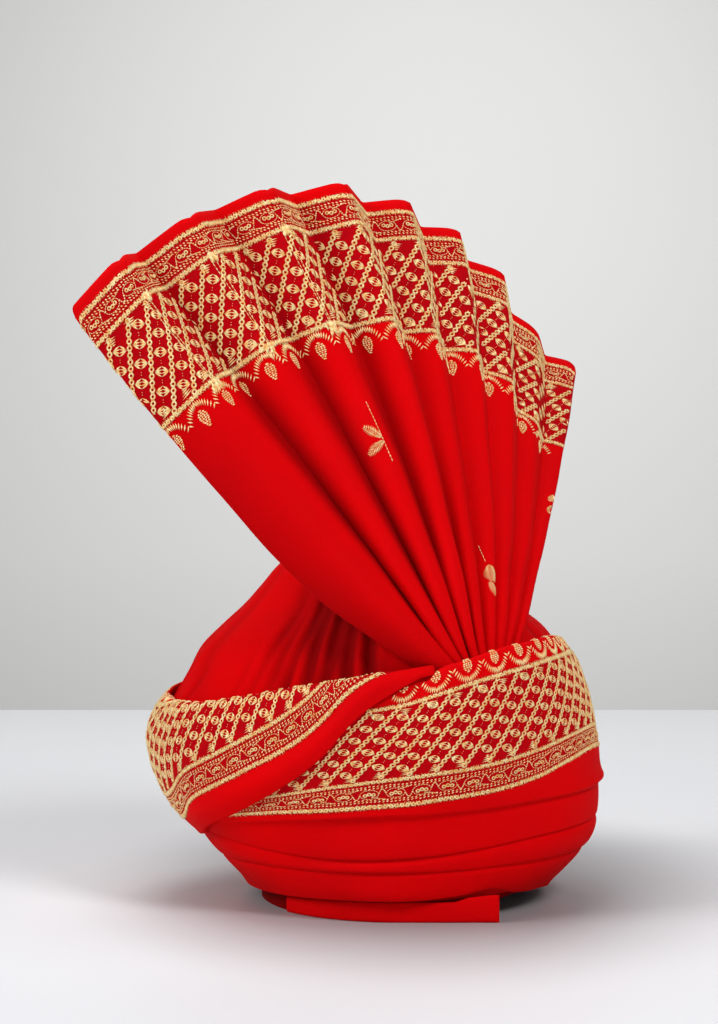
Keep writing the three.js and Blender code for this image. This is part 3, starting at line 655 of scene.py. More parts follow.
def layBand():
    # the strip's grid with the cloth's own places: s along the hem, w from the hem's edge
    turns, points, lengths = bandGrid()
    total = np.array([lengthsAlong(points[:, i])[-1] for i in range(len(turns))])
    turned = total - lengths
    hemRow = turned / total
    hemLine = np.array([
        [np.interp(hemRow[i], np.linspace(0, 1, band["rows"]), points[:, i, k]) for k in range(3)]
        for i in range(len(turns))
    ])
    along = lengthsAlong(hemLine)
    steps = np.gradient(hemLine, axis=0)
    slant = np.arctan2(steps[:, 2], np.hypot(steps[:, 0], steps[:, 1]))
    reach = band["slantReach"]
    kernel = np.hanning(2 * reach + 3)[1:-1]
    slant = np.convolve(np.pad(slant, reach, mode="edge"), kernel / kernel.sum(), mode="valid")
    rows = np.linspace(0, 1, band["rows"])[:, None]
    across = rows * total[None, :] - turned[None, :]
    w = across * np.cos(slant)
    s = along[None, :] + across * np.sin(slant)
    ripple = band["ripple"] * waves(s, w, 46, 38, 7) * smoothStep(w, 4, 14)
    normals = normalsOf(points)
    points = points + normals * ripple[..., None]
    return {
        "points": points,
        "normals": normalsOf(points),
        "turns": turns,
        "along": along,
        "slant": slant,
        "total": total,
        "turned": turned,
        "flat": np.stack([s, bandPattern(turns, w)], axis=-1),
    }


def bandPlace(turn, v):
    # how far from the strip's hem a place of the border pattern lies: the cloth is pulled
    # together more between some of its gold lines than between others
    at = {line: lineCurves[line](turn) for line in lineCurves}
    below = at["line1"] + (v - places["line1"]) * band["shrink"]
    above = at["line3"] + (v - places["line3"]) * band["shrink"]
    vine = mix(at["line1"], at["line2"], (v - places["line1"]) / (places["line2"] - places["line1"]))
    field = mix(at["line2"], at["line3"], (v - places["line2"]) / (places["line3"] - places["line2"]))
    w = np.where(v < places["line2"], vine, field)
    return np.where(v < places["line1"], below, np.where(v > places["line3"], above, w))


def bandPattern(turns, w):
    # the way back: which place of the pattern lies at each spot of the strip
    first, last = band["patternEnds"]
    marks = np.array([first, *(places[line] for line in lineCurves), last])
    v = np.empty(w.shape)
    for i, turn in enumerate(turns):
        v[:, i] = np.interp(w[:, i], bandPlace(turn, marks), marks)
    return v


def findOnBand(strip, s, v):
    # where a place of the border pattern lies on the strip's grid, as column and row
    index = np.arange(len(strip["turns"]))
    column = np.interp(s, strip["along"], index)
    for _ in range(band["findRounds"]):
        turn = np.interp(column, index, strip["turns"])
        slant = np.interp(column, index, strip["slant"])
        across = bandPlace(turn, v) / np.cos(slant)
        nearer = np.interp(s - across * np.sin(slant), strip["along"], index)
        column = mix(column, nearer, band["findStep"])
    total = np.interp(column, index, strip["total"])
    turned = np.interp(column, index, strip["turned"])
    row = (across + turned) / total * (band["rows"] - 1)
    ok = (row >= 0) & (row <= band["rows"] - 1) & (column > 0) & (column < len(strip["turns"]) - 1)
    return column, row, ok


# The fan

fan = {
    "wall": 1.4,
    "reach": 300,
    "puff": 10,
    "bow": 10,
    "droop": 27,
    "neck": 148,
    "foot": 122,
    "overEnd": -78,
    "bandWall": 2.2,
    "rows": 84,
    "footRows": 5,
    "panelSteps": 9,
    "narrowSteps": 5,
    "narrowFace": 14,
    "creaseSteps": (0.2, 0.4, 0.5, 0.6, 0.8),
    "valleyCrease": 2.5,
    "crease": 2.6,
    "openCrease": 11.0,
    "creaseFolds": (3, 11),
    "softRoll": 4.0,
    "edgeRoll": 2.0,
    "tipCorner": 5.0,
    "endCorner": 9.0,
    "ridgeCorner": 1.6,
    "cornerWidth": 8.0,
    "cornerReach": 24,
    "cornerRow": -6,
    "ripple": 0.5,
    "shownReturns": 5,
}
fanTable = table(
    "azimuth out swing lean reach bow droop puff",
    (-80.5, 0.20, -43.6, 4.6, 0.946, 0.0, 1.0, -0.2),
    (-82.0, 0.66, -44.6, 1.6, 0.956, 0.0, 1.0, 1.0),
    (-74.0, 0.66, -39.4, 3.7, 1.007, 0.14, 0.0, 0.0),
    (-72.5, 0.22, -38.1, 7.4, 1.003, -0.2, 0.0, 0.3),
    (-71.1, 0.66, -31.2, 6.6, 1.013, -0.15, 0.0, 0.0),
    (-69.6, 0.22, -28.9, 10.6, 1.010, -0.3, 0.0, 0.3),
    (-68.1, 0.66, -23.1, 10.1, 1.011, -0.5, 0.0, 0.0),
    (-66.7, 0.22, -21.2, 14.6, 1.000, -0.5, 0.0, 0.3),
    (-65.2, 0.66, -15.5, 14.3, 0.995, -0.6, 0.0, 0.0),
    (-63.7, 0.22, -14.1, 19.4, 0.973, -0.5, 0.0, 0.3),
    (-62.2, 0.66, -9.2, 20.9, 0.974, -0.3, 0.0, 0.0),
    (-60.8, 0.22, -8.1, 26.4, 0.953, -0.4, 0.0, 0.2),
    (-59.3, 0.66, -3.8, 28.2, 0.957, -0.6, 0.0, 0.0),
    (-57.8, 0.22, -2.8, 33.9, 0.942, -0.6, 0.0, 0.2),
    (-56.4, 0.66, 2.0, 36.1, 0.937, -0.6, 0.0, 0.0),
    (-54.9, 0.30, 3.7, 42.4, 0.913, -0.6, 0.0, 0.2),
    (-53.4, 0.66, 7.9, 45.0, 0.907, -0.6, 0.0, 0.0),
    (-52.0, 0.38, 10.1, 49.1, 0.903, -0.6, 0.0, 0.2),
    (-50.5, 0.80, 16.2, 50.5, 0.924, -0.3, 0.0, 0.0),
)
# the last column sets how strong the painted shade in the valleys is at each row
fanRowTable = table(
    "up droop swell hollow",
    (0.00, 0.16, 0.3, 1.00),
    (0.05, 0.32, 0.8, 1.00),
    (0.12, 0.47, 1.0, 1.00),
    (0.22, 0.63, 0.9, 1.00),
    (0.36, 0.71, 0.7, 0.95),
    (0.50, 0.62, 0.5, 0.85),
    (0.66, 0.51, 0.4, 0.65),
    (0.83, 0.36, 0.3, 0.30),
    (1.00, 0.12, 0.2, 0.15),
)
edgeFold = 1  # the fold at the fan's left edge
ridges = [i for i, fold in enumerate(fanTable) if fold["out"] > 0.5 and i > edgeFold]


def pocketDepth(azimuth):
    # the room between the cap and the innermost of the border at one direction
    turns = [azimuth, azimuth + 360] if azimuth < fan["overEnd"] else [azimuth]
    insides = [bandLine(min(turn, bandTable[-1]["turn"]))[5:, 0].min() for turn in turns]
    return min(insides) - fan["bandWall"] / 2 - float(coreRadius(azimuth, fan["neck"])) - lay["gap"]


def foldLine(fold, ups):
    # one fold from its foot in the pocket to the rim
    depth = pocketDepth(fold["azimuth"])
    feet = np.linspace(fan["foot"], fan["neck"], fan["footRows"] + 1)
    radius = coreRadius(fold["azimuth"], feet) + lay["gap"] + fold["out"] * depth
    pocket = onRing(fold["azimuth"], radius, feet)
    swing, lean = math.radians(fold["swing"]), math.radians(fold["lean"])
    way = np.array([math.sin(swing) * math.cos(lean), math.sin(lean), math.cos(swing) * math.cos(lean)])
    aside = np.array([-math.cos(swing), 0, math.sin(swing)])
    droop = smoothCurve(fanRowTable, "up", "droop")(ups)
    bow = fan["bow"] * fold["bow"] * 4 * ups * (1 - ups) + fan["droop"] * fold["droop"] * droop
    length = fan["reach"] * fold["reach"] * ups
    rise = pocket[-1] + way * length[:, None] + aside * bow[:, None]
    return np.concatenate([pocket[:-1], rise])


def layFan():
    # the fan's grid: rows from foot to rim, columns over the folds, each crease rounded a little
    ups = np.linspace(0, 1, fan["rows"])
    lines = [foldLine(fold, ups) for fold in fanTable]
    swell = np.concatenate([np.full(fan["footRows"], 0.0), smoothCurve(fanRowTable, "up", "swell")(ups)])
    spots, columns, widths, panels = [], [], [], []
    for i in range(len(lines) - 1):
        a, b = lines[i], lines[i + 1]
        up = np.gradient((a + b) / 2, axis=0)
        out = np.cross(b - a, up)
        out /= np.linalg.norm(out, axis=1, keepdims=True)
        width = float(np.linalg.norm(b[-1] - a[-1]))
        widths.append(width)
        panels.append((a, b, out, fan["puff"] * fanTable[i]["puff"] * swell))

    def onPanel(i, x):
        a, b, out, puff = panels[i]
        return mix(a, b, x) + out * (puff * 4 * x * (1 - x) * (0.8 + 1.0 * x))[:, None]

    def cut(i, side):
        # the share of a panel that a crease takes: the far left edge is a soft roll
        fold = i + side
        size = fan["valleyCrease"]
        if fold in ridges:
            size = mix(fan["openCrease"], fan["crease"], smoothStep(fold, *fan["creaseFolds"]))
        if fold <= edgeFold:
            size = fan["softRoll"] if fold else fan["edgeRoll"]
        return min(0.4, size / widths[i])

    for i in range(len(panels)):
        start, end = cut(i, 0), cut(i, 1)
        if i == 0:
            spots += [onPanel(0, x) for x in (0, start / 2)]
            columns += [0, start / 2]
        steps = fan["panelSteps"] if widths[i] > fan["narrowFace"] else fan["narrowSteps"]
        for x in np.linspace(start, 1 - end, steps):
            spots.append(onPanel(i, x))
            columns.append(i + x)
        if i < len(panels) - 1:
            after = cut(i + 1, 0)
            before, corner, beyond = onPanel(i, 1 - end), lines[i + 1], onPanel(i + 1, after)
            for t in fan["creaseSteps"]:
                spots.append(before * (1 - t) ** 2 + corner * 2 * t * (1 - t) + beyond * t * t)
                columns.append(i + 1 + (2 * t - 1) * (end if t < 0.5 else after))
    for x in (1 - cut(len(panels) - 1, 1) / 2, 1):
        spots.append(onPanel(len(panels) - 1, x))
        columns.append(len(panels) - 1 + x)
    points = np.stack(spots, axis=1)
    columns = np.array(columns)
    inPocket = fan["reach"] + np.linspace(20, 4, fan["footRows"])
    down = np.concatenate([inPocket, fan["reach"] * (1 - ups)])
    ripple = fan["ripple"] * waves(columns[None, :] * 24, down[:, None], 90, 70, 11)
    points = points + normalsOf(points) * ripple[..., None]
    rims = np.concatenate([[0], np.cumsum(widths)])
    across = np.interp(columns, np.arange(len(rims)), rims)
    points = roundCorners(points, across, rims, down)
    flat = spread(across[None, :], down[:, None])
    gaps = np.stack([np.linalg.norm(b - a, axis=1) for a, b, _, _ in panels])
    return {
        "points": points,
        # painted shade in the pleats' valleys
        "hollow": valleyShade(columns)[None, :] * valleyShadeByRow(ups)[:, None],
        "normals": normalsOf(points),
        "columns": columns,
        "rims": rims,
        "gaps": gaps,
        "flat": flat,
    }


def roundCorners(points, across, rims, down):
    # the rim's corners are soft: each column near one is shortened a little
    def quarter(away, radius):
        near = np.clip(1 - away / radius, 0, 1)
        return radius * (1 - np.sqrt(1 - near * near))

    drop = quarter(np.maximum(across - rims[edgeFold], 0), fan["tipCorner"])
    drop = np.maximum(drop, quarter(rims[-1] - across, fan["endCorner"]))
    for fold in ridges[:-1]:
        near = np.clip(1 - np.abs(across - rims[fold]) / fan["cornerWidth"], 0, 1)
        drop = np.maximum(drop, fan["ridgeCorner"] * near**1.6)
    away = points[-1] - points[fan["cornerRow"]]
    away /= np.linalg.norm(away, axis=1, keepdims=True)
    share = smoothStep(-down, -fan["cornerReach"], 0)
    return points - away[None] * (drop[None, :] * share[:, None])[..., None]


# how the painted shade runs across each pleat
valley = {"front": (0.0, 0.66), "back": (0.1, 0.9), "least": 0.2, "narrowing": (4, 13), "first": 0.6}


def valleyShade(columns):
    # painted shade across the pleats: 1 in a valley, 0 on a ridge, less in the narrow valleys at the
    # right and toward the first ridge on the wide first face
    panel = np.minimum(np.floor(columns), len(fanTable) - 2)
    x = columns - panel
    rising = 1 - smoothStep(x, *valley["front"])
    falling = smoothStep(x, *valley["back"])
    narrow = mix(1, valley["least"], smoothStep(panel, *valley["narrowing"]))
    depth = np.where(np.isin(panel, ridges), falling, rising) * narrow
    return np.where(panel <= edgeFold, valley["first"] * (1 - x) * (panel == edgeFold), depth)


def valleyShadeByRow(ups):
    rows = smoothCurve(fanRowTable, "up", "hollow")(ups)
    return np.concatenate([np.full(fan["footRows"], 1.0), rows])


def findOnFan(cloth, s, v, squeezed=False):
    # a front face is measured back from its ridge and the return face on from it, so that what
    # a valley hides is left out, as the real pleat hides it; a squeezed seam crosses all of it
    up = 1 - v / fan["reach"]
    row = fan["footRows"] + up * (fan["rows"] - 1)
    place = np.full(np.shape(s), -1.0)
    rowsAll = np.arange(cloth["gaps"].shape[1])
    for i in range(len(fanTable) - 1):
        width = np.interp(row, rowsAll, cloth["gaps"][i])
        if squeezed:
            width = np.full(np.shape(s), cloth["rims"][i + 1] - cloth["rims"][i])
        if i in ridges:
            x = (s - cloth["rims"][i]) / width
        else:
            x = 1 - (cloth["rims"][i + 1] - s) / width
        inside = (x >= 0) & (x <= 1) & (s >= cloth["rims"][i]) & (s <= cloth["rims"][i + 1])
        place = np.where(inside, i + x, place)
    column = np.interp(place, cloth["columns"], np.arange(len(cloth["columns"])))
    ok = (place >= 0) & (row >= 0) & (row <= fan["footRows"] + fan["rows"] - 1)
    return column, row, ok


def findSeamOnFan(cloth, s, v):
    return findOnFan(cloth, s, v, squeezed=True)


def findChainOnFan(cloth, s, v):
    # the return faces of the right-hand pleats lie pressed together, and only leaves are sewn there
    column, row, ok = findOnFan(cloth, s, v)
    panel = np.searchsorted(cloth["rims"], s, side="right") - 1
    return column, row, ok & ~np.isin(panel, ridges[fan["shownReturns"]:])


# Embroidery: small shapes laid flat on the cloth's own places, then set on its surface

thread = {"lift": 0.12, "sides": 4, "rings": 4}
ringShape = {"radius": 1.25, "wire": 0.52, "segments": 11, "sides": 4, "lift": 0.6}


def masterShape(kind):
    # one grain of thread or one ring sequin, modelled once; returns its points and faces
    bpy.ops.object.select_all(action="DESELECT")
    if kind == "grain":
        bpy.ops.mesh.primitive_uv_sphere_add(segments=thread["sides"], ring_count=thread["rings"], radius=0.5)
    else:
        bpy.ops.mesh.primitive_torus_add(
            major_segments=ringShape["segments"],
            minor_segments=ringShape["sides"],
            major_radius=ringShape["radius"],
            minor_radius=ringShape["wire"],
        )
    piece = bpy.context.object
    points = np.array([vertex.co[:] for vertex in piece.data.vertices])
    faces = [list(face.vertices) for face in piece.data.polygons]
    bpy.data.objects.remove(piece, do_unlink=True)
    return {"points": points, "faces": faces}


grain = masterShape("grain")
ring = masterShape("ring")


class Sewing:
    # collects stitches and rings at places of the pattern: s along the border, v from the hem
    def __init__(self, seed):
        self.draw = np.random.default_rng(seed)
        self.stitches = []
        self.rings = []

    def stitch(self, s, v, angle, length, width=0.55, height=0.5):
        # angle is counted from the hem's direction, in degrees
        self.stitches.append(spread(s, v, angle, length, width, height).reshape(-1, 6))

    def ring(self, s, v, size=1.0):
        self.rings.append(spread(s, v, size).reshape(-1, 3))

    def path(self, s, v, pitch, width=0.5, height=0.45):
        # a line of back stitches along a bent line
        line = np.stack([s, v], axis=-1)
        run = lengthsAlong(line)
        count = max(1, int(round(run[-1] / pitch)))
        middles = (np.arange(count) + 0.5) / count * run[-1]
        half = run[-1] / count / 2
        start, end = (
            np.stack([np.interp(middles + shift, run, line[:, k]) for k in (0, 1)], axis=-1)
            for shift in (-half, half)
        )
        middle, way = (start + end) / 2, end - start
        angle = np.degrees(np.arctan2(way[:, 1], way[:, 0]))
        self.stitch(middle[:, 0], middle[:, 1], angle, np.linalg.norm(way, axis=1) * 1.12, width, height)

    def flatShapes(self):
        shapes = []
        if self.stitches:
            rows = np.concatenate(self.stitches)
            local = grain["points"][None] * rows[:, None, 3:6]
            angle = np.radians(rows[:, 2])[:, None]
            s = rows[:, None, 0] + local[..., 0] * np.cos(angle) - local[..., 1] * np.sin(angle)
            v = rows[:, None, 1] + local[..., 0] * np.sin(angle) + local[..., 1] * np.cos(angle)
            shapes.append((grain, s, v, local[..., 2] + thread["lift"]))
        if self.rings:
            rows = np.concatenate(self.rings)
            local = ring["points"][None] * rows[:, None, 2:3]
            s = rows[:, None, 0] + local[..., 0]
            v = rows[:, None, 1] + local[..., 1]
            shapes.append((ring, s, v, local[..., 2] + ringShape["wire"] * ringShape["lift"]))
        return shapes


def sampleGrid(grid, column, row):
    i = np.clip(np.floor(column).astype(int), 0, grid.shape[1] - 2)
    j = np.clip(np.floor(row).astype(int), 0, grid.shape[0] - 2)
    x = np.clip(column - i, 0, 1)[..., None]
    y = np.clip(row - j, 0, 1)[..., None]
    low = mix(grid[j, i], grid[j, i + 1], x)
    high = mix(grid[j + 1, i], grid[j + 1, i + 1], x)
    return mix(low, high, y)


def sewOn(name, sewing, cloth, find, skin, material):
    # sets the flat shapes on the cloth's outer face and joins them as one mesh
    allPoints, allFaces, first = [], [], 0
    for master, s, v, height in sewing.flatShapes():
        column, row, ok = find(cloth, s, v)
        kept = ok.all(axis=1)
        column, row, height = column[kept], row[kept], height[kept]
        points = sampleGrid(cloth["points"], column, row)
        normals = sampleGrid(cloth["normals"], column, row)
        normals /= np.maximum(np.linalg.norm(normals, axis=-1, keepdims=True), 1e-9)
        points = points + normals * (skin / 2 + height)[..., None]
        size = points.shape[1]
        for start in range(first, first + size * len(points), size):
            allFaces.extend([[corner + start for corner in polygon] for polygon in master["faces"]])
        allPoints.append(points.reshape(-1, 3))
        first += size * len(points)
    mesh = bpy.data.meshes.new(name)
    mesh.from_pydata((np.concatenate(allPoints) * mm).tolist(), [], allFaces)
    piece = bpy.data.objects.new(name, mesh)
    bpy.context.collection.objects.link(piece)
    onWholeMesh(piece, faceOutward)
    bpy.ops.object.shade_smooth()
    finishPiece(piece, material, "border_cloth")


goldLines = {
    "pitch": 0.9,
    "leans": (62.0, 118.0),
    "turn": 14,
    "stray": 0.35,
    "shortest": 3.8,
    "longest": 5.4,
    "width": 0.72,
    "ringPitch": 3.1,
    "ringSize": 0.8,
}
vine = {
    "half": 0.36,
    "swell": 3.3,
    "rise": 3.6,
    "outline": 1.5,
    "stem": (1.4, 0.9, 0.7),
    "curl": (1.5, 0.8, 0.7),
    "ringSize": 0.74,
}
vineRings = table("along up", (-2.3, -0.5), (0, 0.2), (2.3, -0.3))
seedRow = {"pitch": 2.3, "stray": 0.3, "shape": (1.8, 0.95, 0.7)}
seedRows = table("up tilt", (-5.6, 28), (-4.1, 32), (4.1, 30), (5.6, 26))


def goldLine(sewing, last, v):
    # upright stitches that lean to and fro, with rings down the middle
    s = np.arange(0, last, goldLines["pitch"])
    draw = sewing.draw.uniform
    lean = np.where(np.arange(len(s)) % 2, *goldLines["leans"])
    lean = lean + draw(-goldLines["turn"], goldLines["turn"], len(s))
    stray = draw(-goldLines["stray"], goldLines["stray"], len(s))
    length = draw(goldLines["shortest"], goldLines["longest"], len(s))
    sewing.stitch(s, v + stray, lean, length, goldLines["width"])
    sewing.ring(np.arange(0, last, goldLines["ringPitch"]), v, goldLines["ringSize"])


def vineStrip(sewing, last):
    # eyes with three rings in each, joined by a curling stem, between rows of seed stitches
    middle = places["vine"]
    pitch = border["vinePitch"]
    length = pitch * vine["half"]
    turn = np.linspace(0, math.pi, 17)
    share = np.linspace(0, 1, 9)
    along, up = (np.array([row[column] for row in vineRings]) for column in ("along", "up"))
    for k, s0 in enumerate(np.arange(0, last, pitch)):
        for swell in (vine["swell"], -vine["swell"]):
            sewing.path(s0 - np.cos(turn) * length, middle + swell * np.sin(turn), vine["outline"])
        sewing.ring(s0 + along, middle + up, vine["ringSize"])
        rise = vine["rise"] if k % 2 else -vine["rise"]
        stem = s0 + length + share * (pitch - 2 * length)
        sewing.path(stem, middle + rise * np.sin(share * math.pi), *vine["stem"])
        curl = s0 + length * 0.2 + share * pitch * 0.55
        sewing.path(curl, middle - rise * (0.55 + 0.6 * share), *vine["curl"])
    for row in seedRows:
        stray = seedRow["stray"]
        s = np.arange(0, last, seedRow["pitch"]) + sewing.draw.uniform(-stray, stray)
        v = middle + row["up"] + sewing.draw.uniform(-stray, stray, len(s))
        sewing.stitch(s, v, row["tilt"], *seedRow["shape"])


def chainPlaces(last, way, shift, pitch):
    # places along the slanting lines of the field: shift is in chain pitches
    lean = border["chainLean"]
    stretch = math.hypot(1, lean)
    step = border["chainPitch"] * stretch
    v = np.arange(pitch * 0.5 / stretch, border["field"], pitch / stretch)
    for k in range(-2, int(last / step) + 4):
        s = (k + shift) * step + lean * v
        yield s if way > 0 else last - s, places["fieldStart"] + v, k


ringLink = {"apart": 0.55, "shape": (2.0, 0.9, 0.9)}
lemon = {
    "bulges": (-2.9, -1.0, 1.0, 2.9),
    "halfStroke": 2.0,
    "inward": 0.56,
    "bend": 0.88,
    "point": 4.0,
    "shape": (5.1, 1.15, 0.9),
    "clear": 3,
    "dots": (-0.7, 0.7),
    "dot": (0.7, 0.4, 0.3),
}


def chainWay(way):
    # the chains' direction, as degrees and as a step along the hem and across it
    turn = 90 - way * math.degrees(math.atan(border["chainLean"]))
    return turn, math.cos(math.radians(turn)), math.sin(math.radians(turn))


def chains(sewing, last, way):
    # rows of rings, each joined to the next by two stitches
    turn, ax, ay = chainWay(way)
    half = border["ringPitch"] / 2
    for s, v, _ in chainPlaces(last, way, 0, border["ringPitch"]):
        sewing.ring(s, v)
        for off in (-ringLink["apart"], ringLink["apart"]):
            spotS, spotV = s + (half * ax - off * ay), v + (half * ay + off * ax)
            sewing.stitch(spotS, spotV, turn, *ringLink["shape"])


def leaves(sewing, last, way):
    # lemon shaped motifs of four bent strokes across the chain's direction, with two dots between
    turn, ax, ay = chainWay(way)
    for s, v, k in chainPlaces(last, way, 0.5, border["leafPitch"]):
        half = border["leafPitch"] / 4 * (1 if k % 2 else -1)
        v = v + half
        s = s + way * half * border["chainLean"]
        keep = (v > places["fieldStart"] + lemon["clear"]) & (v < places["fieldEnd"] - lemon["clear"])
        s, v = s[keep], v[keep]
        for bulge in lemon["bulges"]:
            for side in (-1, 1):
                # one half stroke, from the motif's point to the stroke's middle
                across, along = side * lemon["halfStroke"], bulge * lemon["inward"]
                tilt = math.degrees(math.atan2(side * bulge * lemon["bend"], lemon["point"]))
                spotS = s + along * ax - across * ay
                spotV = v + along * ay + across * ax
                sewing.stitch(spotS, spotV, turn + 90 + tilt, *lemon["shape"])
        gap = border["leafPitch"] / 2
        for off in lemon["dots"]:
            sewing.stitch(s + (gap + off) * ax, v + (gap + off) * ay, turn, *lemon["dot"])


halfMotif = {"inset": 1, "tilt": 8, "thread": (1.0, 0.7)}
halfMotifRows = table("rise length", (0.6, 8.4), (1.9, 6.8), (3.2, 4.8), (4.4, 2.6))
scallop = {
    "across": 0.9,
    "stitches": 18,
    "inset": 1.6,
    "short": 6,
    "curve": 2.4,
    "lean": 18,
    "length": 4.8,
    "shorter": 0.9,
    "thread": (0.95, 0.9),
}
drop = {
    "rows": 9,
    "down": 6.3,
    "tall": 9.8,
    "half": 2.1,
    "least": 0.3,
    "fullAt": 0.7,
    "tilt": 24,
    "shape": (1.8, 1.15, 1.0),
}


def halfMotifs(sewing, last):
    # small heaps of stitches along both edges of the field
    s = np.arange(0, last, border["chainPitch"] * math.hypot(1, border["chainLean"]))
    for edge, way in ((places["fieldStart"], 1), (places["fieldEnd"], -1)):
        for row in halfMotifRows:
            v = edge + way * halfMotif["inset"] + way * row["rise"]
            sewing.stitch(s, v, halfMotif["tilt"] * way, row["length"], *halfMotif["thread"])


def scallops(sewing, first, last):
    # arches of short stitches below the last gold line, each with a drop in it
    half = border["scallopPitch"] / 2
    x = np.linspace(-scallop["across"], scallop["across"], scallop["stitches"])
    arch = (border["scallop"] - scallop["short"]) * np.abs(x) ** scallop["curve"]
    v = places["scallop"] + scallop["inset"] + arch
    slope = np.degrees(np.arctan2(np.gradient(v), np.gradient(x * half)))
    turn = slope + 90 - scallop["lean"] * np.sign(x)
    length = scallop["length"] - scallop["shorter"] * np.abs(x)
    for s0 in np.arange(first, last, border["scallopPitch"]):
        sewing.stitch(s0 + x * half, v, turn, length, *scallop["thread"])
        for k, share in enumerate(np.linspace(0, 1, drop["rows"])):
            wide = drop["half"] * math.sin(math.pi * share ** drop["fullAt"]) + drop["least"]
            across = np.linspace(-wide, wide, 2 + int(wide))
            down = places["scallop"] + drop["down"] + drop["tall"] * share
            sewing.stitch(s0 + across, down, drop["tilt"] * (-1) ** k, *drop["shape"])


borderWork = {
    "fan": {"seed": 101, "way": -1, "scallopFirst": 6},
    "band": {"seed": 202, "way": 1, "scallopFirst": 4},
}


def sewBorder(cloth, last):
    work = borderWork[cloth]
    names = ("Lines", "Vine", "Chains", "Leaves")
    sewn = {name: Sewing(work["seed"] + i) for i, name in enumerate(names)}
    for line in lineCurves:
        goldLine(sewn["Lines"], last, places[line])
    vineStrip(sewn["Vine"], last)
    scallops(sewn["Vine"], work["scallopFirst"], last)
    chains(sewn["Chains"], last, work["way"])
    leaves(sewn["Leaves"], last, work["way"])
    halfMotifs(sewn["Leaves"], last)
    return sewn


# Shader maths

class Wire:
    # a socket that is added, multiplied and divided like a number
    def __init__(self, paint, socket):
        self.paint = paint
        self.socket = socket

    def maths(self, operation, *values):
        return self.paint.node("ShaderNodeMath", {"operation": operation}, dict(enumerate(values)))

    def __add__(self, other):
        return self.maths("ADD", self, other)

    def __sub__(self, other):
        return self.maths("SUBTRACT", self, other)

    def __rsub__(self, other):
        return self.maths("SUBTRACT", other, self)

    def __mul__(self, other):
        return self.maths("MULTIPLY", self, other)

    def __truediv__(self, other):
        return self.maths("DIVIDE", self, other)

    __radd__ = __add__
    __rmul__ = __mul__

    def sine(self):
        return self.maths("SINE", self)

    def between(self, low, high, soft):
        # 1 between two values, with soft edges
        return self.paint.clamp((self - low) / soft + 0.5) * self.paint.clamp((high - self) / soft + 0.5)


class Paint:
    # a material in the making
    def __init__(self, name):
        self.material = bpy.data.materials.new(name)
        self.material.use_nodes = True
        self.tree = self.material.node_tree
        self.shader = self.tree.nodes["Principled BSDF"]

    def node(self, kind, settings, values, output=0):
        made = self.tree.nodes.new(kind)
        for name, setting in settings.items():
            setattr(made, name, setting)
        for name, value in values.items():
            self.put(made.inputs[name], value)
        return Wire(self, made.outputs[output])

    def put(self, target, value):
        if isinstance(value, Wire):
            self.tree.links.new(value.socket, target)
        else:
            target.default_value = value

    def clamp(self, wire):
        return self.node("ShaderNodeClamp", {}, {"Value": wire})

    def blend(self, share, a, b):
        return self.node("ShaderNodeMix", {"data_type": "RGBA"}, {0: share, 6: a, 7: b}, 2)

    def place(self):
        return self.node("ShaderNodeTexCoord", {}, {}, "Object")

    def noise(self, scale, detail=2.0):
        return self.node("ShaderNodeTexNoise", {}, {"Vector": self.place(), "Scale": scale, "Detail": detail})

    def sides(self, place):
        return [self.node("ShaderNodeSeparateXYZ", {}, {0: place}, side) for side in ("X", "Y")]

    def clothPlace(self):
        # where a point lies on the uncut cloth, in millimetres
        return [side / mm for side in self.sides(self.node("ShaderNodeUVMap", {"uv_map": "cloth"}, {}))]

    def set(self, **values):
        for name, value in values.items():
            self.put(self.shader.inputs[name.replace("_", " ")], value)


def rgb(colour, share=1.0):
    return (colour[0] * share, colour[1] * share, colour[2] * share, 1)


cloth = {
    "red": (0.74, 0.0004, 0.0016),
    "deep": (0.50, 0.0003, 0.0016),
    "ground": (0.42, 0.0010, 0.0050),
    # the deep red of painted shade in folds and under the fan
    "hollow": (0.16, 0.0002, 0.0010),
    "paintedShadeShare": 0.8,
    "deepShare": 1.32,
    "sewnEdge": 0.8,
    "rough": 0.68,
    "roughMore": 0.2,
    "sheen": (1.0, 0.02, 0.02),
    "weavePitch": 0.8,
    "weaveShare": 0.25,
    "weaveDepth": 0.35,
}
gold = {
    # bright and dark are the painted highlight and painted shade colours of the thread's glints
    "bright": (1.0, 0.85, 0.45),
    "dark": (0.90, 0.47, 0.12),
    "rough": 0.42,
    "glintSmooth": 0.14,
    "thread": 0.2,
    "rings": 0.25,
}


